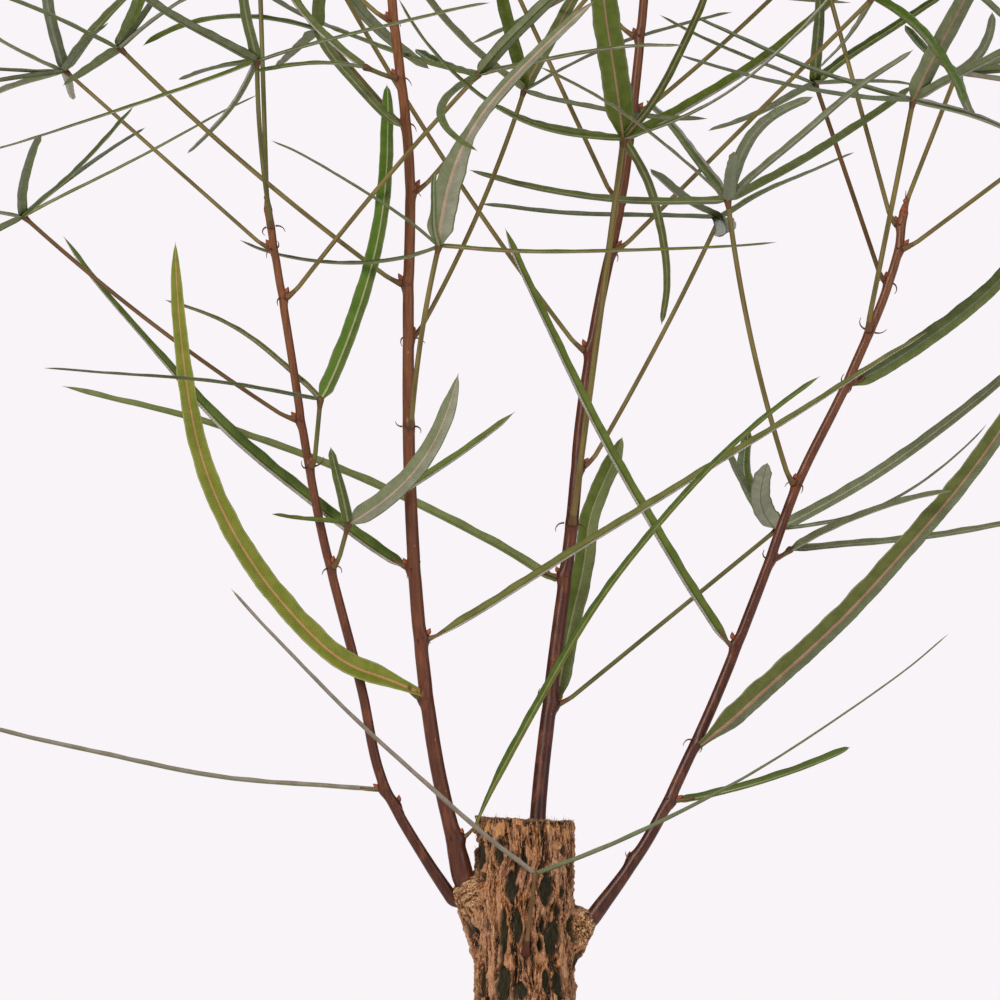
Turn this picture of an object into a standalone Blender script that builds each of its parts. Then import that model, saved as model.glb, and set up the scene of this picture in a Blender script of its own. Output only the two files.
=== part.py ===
"""Young bottle tree, sawn off low and sprouting again with four long shoots.

Metres, +Z up, +X to the right and +Y to the back. The origin is the centre of the flat cut
under the trunk, at ground level. The named sizes are in millimetres and degrees: a lean is
measured in the XZ plane from +X, a reach is the length seen in that plane, and a depth is how
far the end lies behind (+) or in front of (-) the start.
"""

import math

import bmesh
import bpy
import numpy as np

MM = 0.001
GAP = 0.3

# Trunk: a stump with a flat sawn top, a slight bottle swelling and a lobed root flare
TRUNK_HEIGHT = 150.0
TRUNK_TOP_RADIUS = 13.7
TRUNK_SWELL = 5.2
SWELL_HEIGHT = 112.0
FLARE = 5.5
FLARE_HEIGHT = 9.0
FLARE_LOBES = 5
LOBE_SHARE = 0.14
LOBE_HEIGHT = 14.4
TOP_SLOPE = 0.05
TOP_SLOPE_POWER = 4
TRUNK_SIDES = 32
TRUNK_LEVELS = 14
LEVEL_CROWDING = 1.35

# Burls of callus that the shoots grow out of: centre, then half sizes
BURLS = {
    "left": ((-13.4, -2.0, 127.5), (5.6, 7.2, 6.8)),
    "right": ((13.4, 0.0, 119.8), (5.4, 6.0, 6.4)),
    "back": ((2.6, 13.0, 127.0), (6.5, 4.6, 8.0)),
}
BURL_LUMP = 0.09
LUMP_WAVES = (5.1, 4.3, 2.2)
LUMP_START = 1.3
COLLAR_LENGTH = 6.0
COLLAR_WIDER = 1.25
COLLAR_SIDES = 10
SEAT_CLEARING = 9.0
SEAT_MARGIN = 1.6

# Shoots: x at a few heights, depth at foot and tip, radius at foot and tip
SHOOTS = {
    "shoot_1": {
        "rise": (128.0, 139.0, 159.5, 186.0, 232.0, 288.0, 320.0),
        "run": (-20.4, -27.7, -39.2, -45.4, -57.0, -66.4, -71.5),
        "depth": (-3.0, -18.0),
        "radius": (1.55, 1.1),
    },
    "shoot_2": {
        "rise": (134.6, 166.0, 197.0, 240.0, 290.0, 330.0, 379.0, 421.0),
        "run": (-17.4, -24.6, -28.8, -31.8, -32.4, -32.0, -37.0, -40.0),
        "depth": (-4.0, -30.0),
        "radius": (2.2, 1.25),
    },
    "shoot_3": {
        "rise": (136.0, 152.0, 190.0, 233.0, 265.0, 295.0, 325.0, 357.0, 424.0),
        "run": (3.0, 3.9, 8.0, 13.4, 16.4, 21.2, 27.4, 31.5, 37.5),
        "depth": (16.0, 38.0),
        "radius": (2.3, 1.2),
    },
    "shoot_4": {
        "rise": (122.4, 140.0, 172.0, 216.0, 245.0, 274.0, 312.0, 321.0),
        "run": (19.0, 31.8, 48.3, 66.4, 77.2, 91.4, 105.7, 107.0),
        "depth": (0.0, 14.0),
        "radius": (1.75, 1.25),
    },
}
SHOOT_TAPER = 1.4
SHOOT_SIDES = 8
SHOOT_STATIONS = 16
RING_START = (0.0, 1.0, 0.13)

# Leaf stalks and blades
STALK_FOOT_RADIUS = 0.95
STALK_RADIUS = 0.6
STALK_SIDES = 3
STALK_STATIONS = (0.0, 0.35, 0.7, 1.0)
STALK_TAPER_LENGTH = 4.0
STALK_ROOT = 1.3
STALK_NEAR_SHOOT = 9.0
MOST_SKIPPED = 0.9
SHORT_STALK = 3.5
HUB_RADIUS = 1.45
SINGLE_HUB_RADIUS = 0.9
BLADE_STATIONS = (0.0, 0.12, 0.34, 0.58, 0.8)
SHORT_BLADE_STATIONS = (0.0, 0.13, 0.42, 0.74)
SHORT_BLADE = 75.0
BLADE_SUNK = 0.45
BLADE_BASE_SHARE = 0.16
BLADE_BASE_LENGTH = 0.12
BLADE_BASE_POWER = 0.8
BLADE_TIP_POWERS = (5.0, 0.8)
MOST_IN_LINE = 0.86
BLADE_THICKNESS = 0.011
THINNING = 0.5
FLAT_SIDE_SHARE = 0.4
TANGENT_STEP = 0.02
BLADE_WIDTH = (2.0, 0.022, 4.8)
BLADE_DEPTH_SHARE = (0.12, 0.82)
MOST_TURN = 55

# A blade or stalk gives way in depth, by these steps, to those that are already there
DEPTH_STEPS = (0, 6, -6, 12, -12, 18, -18, 26, -26, 34, -34)
PATH_SAMPLES = 72

# Long simple leaves low on the plant: shoot, height on it, then the blade's lean, reach, depth,
# bow, width, the angle that its upper side is turned to the front, and how far the bow is skewed
SIMPLE_LEAVES = {
    "leaf_yellow": ("shoot_2", 184, 117.6, 142, -34, 23, 7.0, 70, 0.45),
    "leaf_dark_left": ("shoot_2", 220, 135.5, 135, 26, 6, 4.4, 50, 0.2),
    "leaf_long_left": ("shoot_3", 218, 159, 148, -16, -6.5, 3.8, 40, 0.2),
    "leaf_long_right": ("shoot_2", 200, 31.5, 160, -44, 0, 3.6, 45, 0),
    "leaf_rising": ("shoot_2", 144, 52.5, 160, -50, 11, 3.4, 45, -0.4),
    "leaf_behind": ("shoot_3", 184, 75.8, 78, 24, 1.5, 6.0, 75, 0),
    "leaf_crossing": ("shoot_4", 198, 118.4, 131, -30, 3, 3.4, 50, 0),
    "leaf_low_left": ("shoot_1", 159, 168.6, 137, 8, 5.2, 2.4, 35, 0),
    "leaf_broad_right": ("shoot_4", 172, 48, 134, -28, -5, 6.8, -60, -0.3),
    "leaf_short_right": ("shoot_4", 156, 18, 50, -10, -1.5, 3.4, 40, 0),
    "leaf_far_right": ("shoot_4", 273, 42.5, 78, 30, -5.5, 5.6, 60, -0.3),
}

# Palmate leaves: shoot, height on it, stalk (lean, reach, depth, bow), length of a leaflet, then
# each leaflet's lean and reach, and where they matter its bow, width, turn to the front and skew
PALMATE_LEAVES = {
    "leaf_p": ("shoot_1", 220, (74, 12.3, -8, 0), 58, [
        (102, 20, 0, 3.2, 60), (172, 22, 0, 2.6, 30), (53, 51, -6, 6.6, -70), (34, 56, -1, 3.0, 50)]),
    "leaf_h": ("shoot_1", 248, (84, 18.5, -10, 0), 88, [
        (175, 75, -1.5, 2.6, 30), (145, 57, -4, 2.2, 30), (78, 89, -6, 4.6, 60)]),
    "leaf_i": ("shoot_2", 259.5, (80.5, 48.5, -42, 1), 92, [
        (56, 76, 9, 5.8, -75, 0.6), (174, 57, 5.7, 2.9, 25), (152, 50, -2, 2.2, 30),
        (1, 93, -2, 2.0, 30), (92, 15, 1, 1.9, -50)]),
    "leaf_g": ("shoot_1", 261.4, (142.8, 93, -14, 2), 78, [
        (66, 20, 2, 2.8, 50), (43, 43, 1, 3.0, 50), (38, 42, -1, 2.6, 35), (29, 74, 0, 1.6, 30),
        (172, 62), (203, 52)]),
    "leaf_a": ("shoot_1", 309, (137.8, 78, 32, 0), 88, [
        (92, 46, 3, 3.4, -60), (55, 44, 2), (26, 17, 1), (142, 60, 4), (178, 66, 2), (199, 50, -3),
        (189, 72, 1), (252, 3, 0, 2.6, -60)]),
    "leaf_b": ("shoot_2", 298.7, (140, 100, -20, 2), 86, [
        (166, 62, -3, 3.4, 40), (71, 38, 1), (51, 44, -1), (40, 52, 2), (20, 31, 2, 2.4, 30),
        (204, 38, 0)]),
    "leaf_c": ("shoot_2", 343, (129, 38, 34, 0), 80, [
        (192, 48, -6, 3.2, 40), (205, 15, 0, 5.0, 40), (307, 41, -2, 3.4, -55), (80, 52, 2),
        (120, 58, 3)]),
    "leaf_d": ("shoot_1", 315, (94, 43, -36, 1), 84, [
        (93, 34, 2, 3.0, 60), (180, 24, -1), (152, 44, 2), (197, 80, 1, 2.8, 30),
        (10, 65, 1, 2.4, 35), (224, 30, 2, 1.8, -50)]),
    "leaf_e": ("shoot_1", None, (92, 60, 6, 0), 76, [
        (186, 60, -1, 2.6, 30), (348, 25, -1), (100, 52, 1), (60, 50, 2), (135, 52, 2)]),
    "leaf_f": ("shoot_1", 295, (48.5, 79, -32, 1), 84, [
        (39.5, 60, 2, 4.0, -60), (145, 22, 1), (270, 26, -10, 2.6, -60), (155.6, 47, 1, 3.0, 40),
        (3, 55, 2, 2.8, 35)]),
    "leaf_j": ("shoot_2", 283.8, (67, 78, 32, -2), 88, [
        (102, 58, 1, 3.8, 50), (60, 62, 2), (136, 58, 3), (24, 66, 3), (345, 52, -2)]),
    "leaf_k": ("shoot_3", 233.2, (82.5, 106.3, -48, 0), 104, [
        (97.4, 76, 1, 8.0, -75), (36.4, 80, -3, 4.6, 60), (65, 62, -5, 2.4, 40),
        (156.6, 41, 2, 3.4, 40), (152, 70, 11, 3.2, 45), (284, 49, 5.5, 4.4, 60),
        (33, 71, -7, 2.4, 40)]),
    "leaf_l": ("shoot_4", 243.5, (103.5, 79, -40, 2), 96, [
        (47, 31, 6, 4.2, -60), (34.4, 66, -1.5, 3.2, 50), (36.5, 60, 1.5, 2.6, -40),
        (122.3, 40, -1, 3.4, 45), (149.3, 61, -3, 3.2, 45), (170, 73, 3.5, 3.4, 50),
        (92, 8, 0, 3.6, -60)]),
    "leaf_l_back": ("shoot_3", 249.7, (62.3, 81, 12, -1), 82, [
        (256, 10, 2, 5.2, -50), (29.5, 47, 1, 2.2, 40), (156.5, 23, 1), (174.5, 69, 1, 2.6, 40)]),
    "leaf_m": ("shoot_4", 301, (106.3, 62, 44, 0), 72, [
        (91.6, 26, 0, 3.4, 50), (36.8, 50, 1), (161.8, 48, 1, 3.2, 40), (198, 31, 1), (349, 28, 1)]),
    "leaf_n": ("shoot_4", 287, (79.5, 63, -36, 0), 88, [
        (61.6, 55, 1, 6.0, -70), (346, 50, 2), (173, 67, 2.5, 3.2, 45), (155.4, 66, 2, 3.4, 45),
        (20, 62, 3)]),
    "leaf_o": ("shoot_4", None, (68.3, 41.4, 10, 0), 62, [
        (61, 15, -3, 3.2, -60), (16, 44, 1), (359, 50, 1), (310, 12, -1, 3.0, -60), (345, 46, 1),
        (125, 22, 1)]),
    "leaf_r": ("shoot_3", 182.5, (39.3, 79.8, 22, 0), 84, [
        (107, 17, 3.5, 6.4, -60), (101, 32, 5, 4.8, 60), (129, 26, 1, 2.8, -40),
        (34.6, 84, -3, 4.2, 50), (26, 63, -7, 2.6, 35)]),
    "leaf_s": ("shoot_4", 223.4, (40, 5, 3, 0), 66, [(19, 46, 2.5, 4.2, 50), (7.5, 68, -1, 4.2, 30)]),
    "leaf_t": ("shoot_2", 356, (160, 8, -6, 0), 46, [(188, 31, -2, 3.0, 35), (132, 34, 2, 3.0, 35)]),
    "leaf_u1": ("shoot_2", 324.4, (50, 90, 24, 0), 92, [
        (100, 66, 2), (62, 72, 3), (28, 74, 4), (352, 66, -3), (150, 60, -3), (204, 48, 2)]),
    "leaf_u2": ("shoot_3", 282, (123.4, 127, -8, 2.5), 92, [
        (108, 72, 3), (70, 66, 3), (148, 70, -4), (176, 72, -3), (24, 60, 4), (322, 34, -2)]),
    "leaf_u3": ("shoot_3", 326, (114, 75, 34, 0), 88, [
        (92, 66, 2), (128, 64, -3), (160, 66, -4), (50, 64, 3), (14, 56, 3)]),
    "leaf_u4": ("shoot_3", 311.3, (44.3, 99, -36, 0), 84, [
        (298, 43, 4, 4.8, 60), (230, 22, 1, 2.6, 40), (96, 58, 2), (58, 66, 3), (22, 62, 3),
        (160, 52, -3)]),
    "leaf_u5": ("shoot_4", 317, (104.5, 88, 18, 0), 96, [
        (247, 92, -5.5, 3.2, 50), (100, 66, 2), (64, 66, 3), (140, 68, -4), (20, 64, 4)]),
    "leaf_u6": ("shoot_4", 310.7, (36.3, 74, -28, 0), 84, [
        (80, 60, 2), (42, 68, 3), (6, 64, 3), (332, 50, -3), (130, 54, -3)]),
}

# The leaf on a short stalk of its own, on the front of the trunk
TRUNK_LEAF = {"foot": (0.2, 112.5), "stalk": (83, 22.5, -7, 0), "leaflet": 125, "leaflets": [
    (136.8, 114, 2.8, 2.2, -40), (30.2, 132, -6, 2.2, -40)]}

# Leaves near the two tips, set round their shoot by a spiral rule
TOP_LEAVES = {"shoot_2": (372, 388, 405, None), "shoot_3": (351, 372, 391, 409, None)}
SPIRAL_TURN = 137.5
TOP_FIRST_TURN = {"shoot_2": 150.0, "shoot_3": 20.0}
TOP_STALK_LENGTH = (86.0, 52.0)
TOP_STALK_RISE = (42.0, 74.0)
TOP_LEAFLET = (96.0, 78.0)
TOP_STALK_BOW = (0.0, 0.0, -2.0)
TOP_LEAFLETS = 6
TOP_SPREAD = 64.0
TOP_SPREAD_VARIES = 14.0
TOP_SMALLEST = 0.72
TOP_BOW = (0.02, 0.09)
TOP_MOST_TURN = 50
TOP_RING_START = (0.3, 0.2, 1.0)

BARK = ((0.105, 0.062, 0.034), 0.85)
SHOOT_BARK = ((0.155, 0.040, 0.026), 0.45)
GREEN = ((0.055, 0.115, 0.022), 0.5)
YELLOW_GREEN = ((0.19, 0.26, 0.035), 0.5)

SHARP_ANGLE = 40

random_turns = np.random.default_rng(11)


def clear_scene():
    for old in list(bpy.data.objects):
        bpy.data.objects.remove(old, do_unlink=True)


def unit(vector):
    return vector / np.linalg.norm(vector)


def smooth_through(at, places, values):
    """Cubic curve through the values at their places, with the mean slope at each."""
    places, values = np.array(places, float), np.array(values, float)
    slopes = np.gradient(values, places)
    first = np.clip(np.searchsorted(places, at) - 1, 0, len(places) - 2)
    span = places[first + 1] - places[first]
    t = (at - places[first]) / span
    return (
        (1 + 2 * t) * (1 - t) ** 2 * values[first]
        + t * (1 - t) ** 2 * span * slopes[first]
        + t**2 * (3 - 2 * t) * values[first + 1]
        + t**2 * (t - 1) * span * slopes[first + 1]
    )


def trunk_radius(height):
    """Top radius, plus a cosine swelling below, plus a flare that dies away upwards."""
    low = np.clip(height / SWELL_HEIGHT, 0, 1)
    swell = TRUNK_SWELL * (0.5 + 0.5 * np.cos(math.pi * low))
    return TRUNK_TOP_RADIUS + swell + FLARE * np.exp(-height / FLARE_HEIGHT)


def shoot_place(name, height):
    """Centre, direction and radius of a shoot at one height."""
    shoot = SHOOTS[name]
    rise, run = shoot["rise"], shoot["run"]

    def centre(at):
        share = (at - rise[0]) / (rise[-1] - rise[0])
        depth = shoot["depth"][0] + share * (shoot["depth"][1] - shoot["depth"][0])
        return np.array([smooth_through(at, rise, run), depth, at])

    share = (height - rise[0]) / (rise[-1] - rise[0])
    foot, tip = shoot["radius"]
    radius = tip + (foot - tip) * (1 - share) ** SHOOT_TAPER
    return centre(height), unit(centre(height + 0.5) - centre(height - 0.5)), radius


def frames_along(path, first_direction=None):
    """Two unit vectors square to the path at each point, carried along it without twist."""
    tangents = np.gradient(path, axis=0)
    tangents /= np.linalg.norm(tangents, axis=1)[:, None]
    if first_direction is not None:
        tangents[0] = first_direction
    side = np.cross(tangents[0], RING_START)
    sides = []
    for tangent in tangents:
        side = unit(side - side.dot(tangent) * tangent)
        sides.append(side)
    sides = np.array(sides)
    return sides, np.cross(tangents, sides)


def tube(path, radii, count, first_direction=None):
    """Rings of points round a path, closed at both ends."""
    sides, ups = frames_along(path, first_direction)
    angles = 2 * math.pi * np.arange(count) / count
    ring = np.cos(angles)[None, :, None] * sides[:, None] + np.sin(angles)[None, :, None] * ups[:, None]
    points = (path[:, None] + ring * np.array(radii)[:, None, None]).reshape(-1, 3)
    faces = [tuple(range(count))[::-1]]
    for level in range(len(path) - 1):
        for k in range(count):
            a, b = level * count + k, level * count + (k + 1) % count
            faces.append((a, b, b + count, a + count))
    last = (len(path) - 1) * count
    faces.append(tuple(range(last, last + count)))
    return points, faces


def blade_outline(t):
    """Share of the full width: narrow at the base, even along the middle, drawn out to the tip."""
    t = np.maximum(t, 0)
    rise, fall = BLADE_TIP_POWERS
    opening = (1 - BLADE_BASE_SHARE) * (t / BLADE_BASE_LENGTH) ** BLADE_BASE_POWER
    return np.minimum(1.0, BLADE_BASE_SHARE + opening) * (1 - t**rise) ** fall


def facing_of(chord, face_turn):
    """Up, turned towards the front by face_turn, and a quarter turn on if that is the blade's own line."""
    turn = math.radians(face_turn)
    in_line = abs(-math.sin(turn) * chord[1] + math.cos(turn) * chord[2])
    if in_line > MOST_IN_LINE * np.linalg.norm(chord):
        turn += 0.5 * math.pi
    return np.array([0.0, -math.sin(turn), math.cos(turn)])


def blade(path_at, length, width, face_turn):
    """A long leaf, flat above and keeled below, its upper side turned to face_turn."""
    stations = np.array(BLADE_STATIONS if length > SHORT_BLADE else SHORT_BLADE_STATIONS)
    stations[0] = -BLADE_SUNK / length
    path = path_at(stations)
    ahead, behind = np.minimum(stations + TANGENT_STEP, 1), np.maximum(stations - TANGENT_STEP, 0)
    tangents = path_at(ahead) - path_at(behind)
    tangents /= np.linalg.norm(tangents, axis=1)[:, None]
    facing = facing_of(path[-1] - path[0], face_turn)
    normals = facing - (tangents @ facing)[:, None] * tangents
    normals /= np.linalg.norm(normals, axis=1)[:, None]
    sides = np.cross(tangents, normals)
    half_width = 0.5 * width * blade_outline(stations)[:, None]
    thickness = BLADE_THICKNESS * length * (1 - THINNING * stations)[:, None]
    thickness[0] *= THINNING
    above = path + normals * FLAT_SIDE_SHARE * thickness
    keel = path - normals * (1 - FLAT_SIDE_SHARE) * thickness
    rings = np.stack([above + sides * half_width, above - sides * half_width, keel], axis=1)
    points = np.vstack([rings.reshape(-1, 3), path_at(np.array([1.0]))])
    faces = [(2, 1, 0)]
    for level in range(len(stations) - 1):
        for k in range(3):
            a, b = level * 3 + k, level * 3 + (k + 1) % 3
            faces += [(a, b, b + 3), (a, b + 3, a + 3)]
    last = (len(stations) - 1) * 3
    faces += [(last + k, last + (k + 1) % 3, last + 3) for k in range(3)]
    return points, faces


def bowed_path(start, vector, bow, skew=0.0):
    """Start plus t times the vector, plus a parabola of height bow that leans to the base by skew."""
    return lambda t: start + np.outer(t, vector) + np.outer(4 * t * (1 - t) * (1 + skew * (0.5 - t)), bow)


class Space:
    """Where stalks and blades already are, so that a new one can keep clear of them."""

    def __init__(self):
        self.pieces = []

    def add(self, owner, points, half):
        low, high = (points - half[:, None]).min(axis=0), (points + half[:, None]).max(axis=0)
        self.pieces.append((owner, points, half, low, high))

    def is_free(self, owner, points, half):
        low = (points - half[:, None]).min(axis=0) - GAP
        high = (points + half[:, None]).max(axis=0) + GAP
        for other, places, other_half, other_low, other_high in self.pieces:
            if other == owner or (other_low > high).any() or (other_high < low).any():
                continue
            apart = np.sqrt(((points[:, None] - places[None]) ** 2).sum(axis=2))
            if (apart - half[:, None] - other_half).min() < GAP:
                return False
        return True


def settle(space, owner, start, vector, bow, half, skip=0.0, skew=0.0):
    """The piece's path at the first step in depth that leaves it clear, or None."""
    t = np.linspace(0, 1, PATH_SAMPLES)
    tested = t >= skip
    for step in DEPTH_STEPS:
        path_at = bowed_path(start, vector + np.array([0.0, step, 0.0]), bow, skew)
        points = path_at(t)
        if space.is_free(owner, points[tested], half[tested]):
            return path_at
    return None


def seen_vector(lean, reach, depth):
    angle = math.radians(lean)
    return np.array([reach * math.cos(angle), depth, reach * math.sin(angle)])


def seen_bow(lean, bow):
    """A bow to the left of the direction of travel, in the XZ plane."""
    angle = math.radians(lean)
    return np.array([-bow * math.sin(angle), 0.0, bow * math.cos(angle)])


def leaflet_rule(index, length, lean, reach, bow=0.0, width=None, turn=None, skew=0.0):
    """Fills in what a leaflet's row leaves out, and finds its depth from its true length."""
    least, most = BLADE_DEPTH_SHARE
    depth = math.sqrt(max(length**2 - reach**2, 0.0))
    depth = min(max(depth, least * length), most * length) * (1 if index % 2 else -1)
    rule_turn = random_turns.uniform(-MOST_TURN, MOST_TURN)
    if turn is None:
        turn = rule_turn
    if width is None:
        width = min(BLADE_WIDTH[0] + BLADE_WIDTH[1] * length, BLADE_WIDTH[2])
    return seen_vector(lean, reach, depth), seen_bow(lean, bow), width, turn, skew


def top_leaflets(stalk, count, length):
    """Leaflets round the end of a stalk, evenly turned and spread to one angle from it."""
    along = unit(stalk)
    side = unit(np.cross(along, TOP_RING_START))
    up = np.cross(along, side)
    rows = []
    for k in range(count):
        round_angle = 2 * math.pi * (k + 0.5 * random_turns.uniform(-0.5, 0.5)) / count
        spread = math.radians(TOP_SPREAD + random_turns.uniform(-TOP_SPREAD_VARIES, TOP_SPREAD_VARIES))
        out = side * math.cos(round_angle) + up * math.sin(round_angle)
        size = length * random_turns.uniform(TOP_SMALLEST, 1.0)
        vector = size * (along * math.cos(spread) + out * math.sin(spread))
        bow = np.array([0.0, 0.0, size * random_turns.uniform(*TOP_BOW)])
        width = min(BLADE_WIDTH[0] + BLADE_WIDTH[1] * size, BLADE_WIDTH[2])
        turn = random_turns.uniform(-TOP_MOST_TURN, TOP_MOST_TURN)
        rows.append((vector, bow, width, turn, 0.0))
    return rows


def leaf_foot(shoot, height, vector):
    """Where a stalk starts, just clear of its shoot, and the direction square to the shoot."""
    if height is None:
        tip, direction, _ = shoot_place(shoot, SHOOTS[shoot]["rise"][-1])
        return tip + direction * GAP, direction
    centre, direction, radius = shoot_place(shoot, height)
    out = unit(vector - vector.dot(direction) * direction)
    return centre + out * (radius + GAP), out


def leaf_plans():
    """Every leaf as name, foot, outward direction, stalk vector and bow, and leaflet rows."""
    plans = []
    for name, (shoot, height, lean, reach, depth, bow, width, turn, skew) in SIMPLE_LEAVES.items():
        vector = seen_vector(lean, reach, depth)
        foot, out = leaf_foot(shoot, height, vector)
        share = SHORT_STALK / np.linalg.norm(vector)
        rest = (vector * (1 - share), seen_bow(lean, bow), width, turn, skew)
        plans.append((name, foot, out, vector * share, seen_bow(lean, bow * share), [rest]))
    for name, (shoot, height, stalk, length, leaflets) in PALMATE_LEAVES.items():
        vector = seen_vector(*stalk[:3])
        foot, out = leaf_foot(shoot, height, vector)
        rows = [leaflet_rule(k, length, *leaflet) for k, leaflet in enumerate(leaflets)]
        plans.append((name, foot, out, vector, seen_bow(stalk[0], stalk[3]), rows))
    x, height = TRUNK_LEAF["foot"]
    stalk = TRUNK_LEAF["stalk"]
    front = np.array([0.0, -1.0, 0.0])
    foot = np.array([x, -trunk_radius(height) - GAP, height])
    rows = [leaflet_rule(0, TRUNK_LEAF["leaflet"], *row) for row in TRUNK_LEAF["leaflets"]]
    plans.append(("leaf_trunk", foot, front, seen_vector(*stalk[:3]), seen_bow(stalk[0], stalk[3]), rows))
    for shoot, heights in TOP_LEAVES.items():
        for k, height in enumerate(heights):
            share = k / (len(heights) - 1)
            azimuth = math.radians(TOP_FIRST_TURN[shoot] + SPIRAL_TURN * k)
            rise = math.radians(TOP_STALK_RISE[0] + share * (TOP_STALK_RISE[1] - TOP_STALK_RISE[0]))
            size = TOP_STALK_LENGTH[0] + share * (TOP_STALK_LENGTH[1] - TOP_STALK_LENGTH[0])
            length = TOP_LEAFLET[0] + share * (TOP_LEAFLET[1] - TOP_LEAFLET[0])
            level = math.cos(rise)
            vector = np.array([level * math.cos(azimuth), level * math.sin(azimuth), math.sin(rise)]) * size
            foot, out = leaf_foot(shoot, height, vector)
            rows = top_leaflets(vector, TOP_LEAFLETS, length)
            name = f"leaf_top_{shoot[-1]}_{k + 1}"
            plans.append((name, foot, out, vector, np.array(TOP_STALK_BOW), rows))
    return plans


def material(name, look):
    colour, roughness = look
    made = bpy.data.materials.new(name)
    made.use_nodes = True
    shader = made.node_tree.nodes["Principled BSDF"]
    shader.inputs["Base Color"].default_value = (*colour, 1)
    shader.inputs["Roughness"].default_value = roughness
    shader.inputs["Metallic"].default_value = 0.0
    return made


def mesh_object(name, points, faces, finish=None):
    """One object in the scene from points in millimetres."""
    mesh = bpy.data.meshes.new(name)
    mesh.from_pydata((np.array(points) * MM).tolist(), [], faces)
    if finish:
        mesh.materials.append(finish)
    made = bpy.data.objects.new(name, mesh)
    bpy.context.scene.collection.objects.link(made)
    return made


def is_closed(mesh):
    """True where every edge has two faces."""
    form = bmesh.new()
    form.from_mesh(mesh)
    closed = bool(form.faces) and all(len(edge.link_faces) == 2 for edge in form.edges)
    form.free()
    return closed


def combine(base, others, operation="UNION"):
    """Joins the others to the base with one Boolean, or cuts them from it, and removes them."""
    group = bpy.data.collections.new("to_combine")
    bpy.context.scene.collection.children.link(group)
    for other in others:
        bpy.context.scene.collection.objects.unlink(other)
        group.objects.link(other)
    boolean = base.modifiers.new("combine", "BOOLEAN")
    boolean.operation = operation
    boolean.operand_type = "COLLECTION"
    boolean.collection = group
    for solver in ("EXACT", "MANIFOLD"):
        boolean.solver = solver
        graph = bpy.context.evaluated_depsgraph_get()
        combined = bpy.data.meshes.new_from_object(base.evaluated_get(graph))
        if is_closed(combined):
            break
    base.modifiers.clear()
    base.data = combined
    for other in others:
        bpy.data.objects.remove(other, do_unlink=True)
    bpy.data.collections.remove(group)
    return base


def ball(centre, half_sizes, subdivisions, lump=0.0):
    """A faceted ellipsoid, pushed in and out by a slow wave where it is lumpy."""
    form = bmesh.new()
    bmesh.ops.create_icosphere(form, subdivisions=subdivisions, radius=1.0)
    points = np.array([v.co[:] for v in form.verts])
    faces = [tuple(v.index for v in face.verts) for face in form.faces]
    form.free()
    x, y, z = points.T
    wave = np.sin(LUMP_WAVES[0] * x + LUMP_START) * np.cos(LUMP_WAVES[1] * z + LUMP_WAVES[2] * y)
    return points * (1 + lump * wave)[:, None] * np.array(half_sizes) + np.array(centre), faces


def make_trunk(finish):
    """The stump: rings of lobed circles from the ground to the sloping saw cut, with its burls."""
    heights = TRUNK_HEIGHT * np.linspace(0, 1, TRUNK_LEVELS) ** LEVEL_CROWDING
    angles = 2 * math.pi * np.arange(TRUNK_SIDES) / TRUNK_SIDES
    lobes = LOBE_SHARE * np.exp(-heights / LOBE_HEIGHT)[:, None] * np.cos(FLARE_LOBES * angles)
    radii = trunk_radius(heights)[:, None] * (1 + lobes)
    x, y = radii * np.cos(angles), radii * np.sin(angles)
    z = heights[:, None] - TOP_SLOPE * x * (heights[:, None] / TRUNK_HEIGHT) ** TOP_SLOPE_POWER
    points = np.stack([x, y, z], axis=2).reshape(-1, 3)
    faces = [tuple(range(TRUNK_SIDES))[::-1]]
    for level in range(TRUNK_LEVELS - 1):
        for k in range(TRUNK_SIDES):
            a, b = level * TRUNK_SIDES + k, level * TRUNK_SIDES + (k + 1) % TRUNK_SIDES
            faces.append((a, b, b + TRUNK_SIDES, a + TRUNK_SIDES))
    last = (TRUNK_LEVELS - 1) * TRUNK_SIDES
    faces.append(tuple(range(last, last + TRUNK_SIDES)))
    trunk = mesh_object("trunk", points, faces, finish)
    others = [
        mesh_object("burl", *ball(centre, half_sizes, 2, BURL_LUMP), finish)
        for centre, half_sizes in BURLS.values()
    ]
    seats = []
    for name, shoot in SHOOTS.items():
        foot, direction, radius = shoot_place(name, shoot["rise"][0])
        seat = foot - direction * GAP
        radii = np.full(2, radius * COLLAR_WIDER)
        collar = tube(np.array([seat - direction * COLLAR_LENGTH, seat + direction]), radii, COLLAR_SIDES)
        others.append(mesh_object("collar", *collar, finish))
        path = np.array([seat, seat + direction * SEAT_CLEARING])
        seats.append(mesh_object("seat", *tube(path, radii + SEAT_MARGIN, COLLAR_SIDES)))
    return combine(combine(trunk, others), seats, "DIFFERENCE")


def make_shoot(name, finish):
    """One tapering limb from its collar to its tip."""
    rise = SHOOTS[name]["rise"]
    heights = np.linspace(rise[0], rise[-1], SHOOT_STATIONS)
    places = [shoot_place(name, height) for height in heights]
    path = np.array([place[0] for place in places])
    radii = [place[2] for place in places]
    return mesh_object(name, *tube(path, radii, SHOOT_SIDES, places[0][1]), finish)


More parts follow.
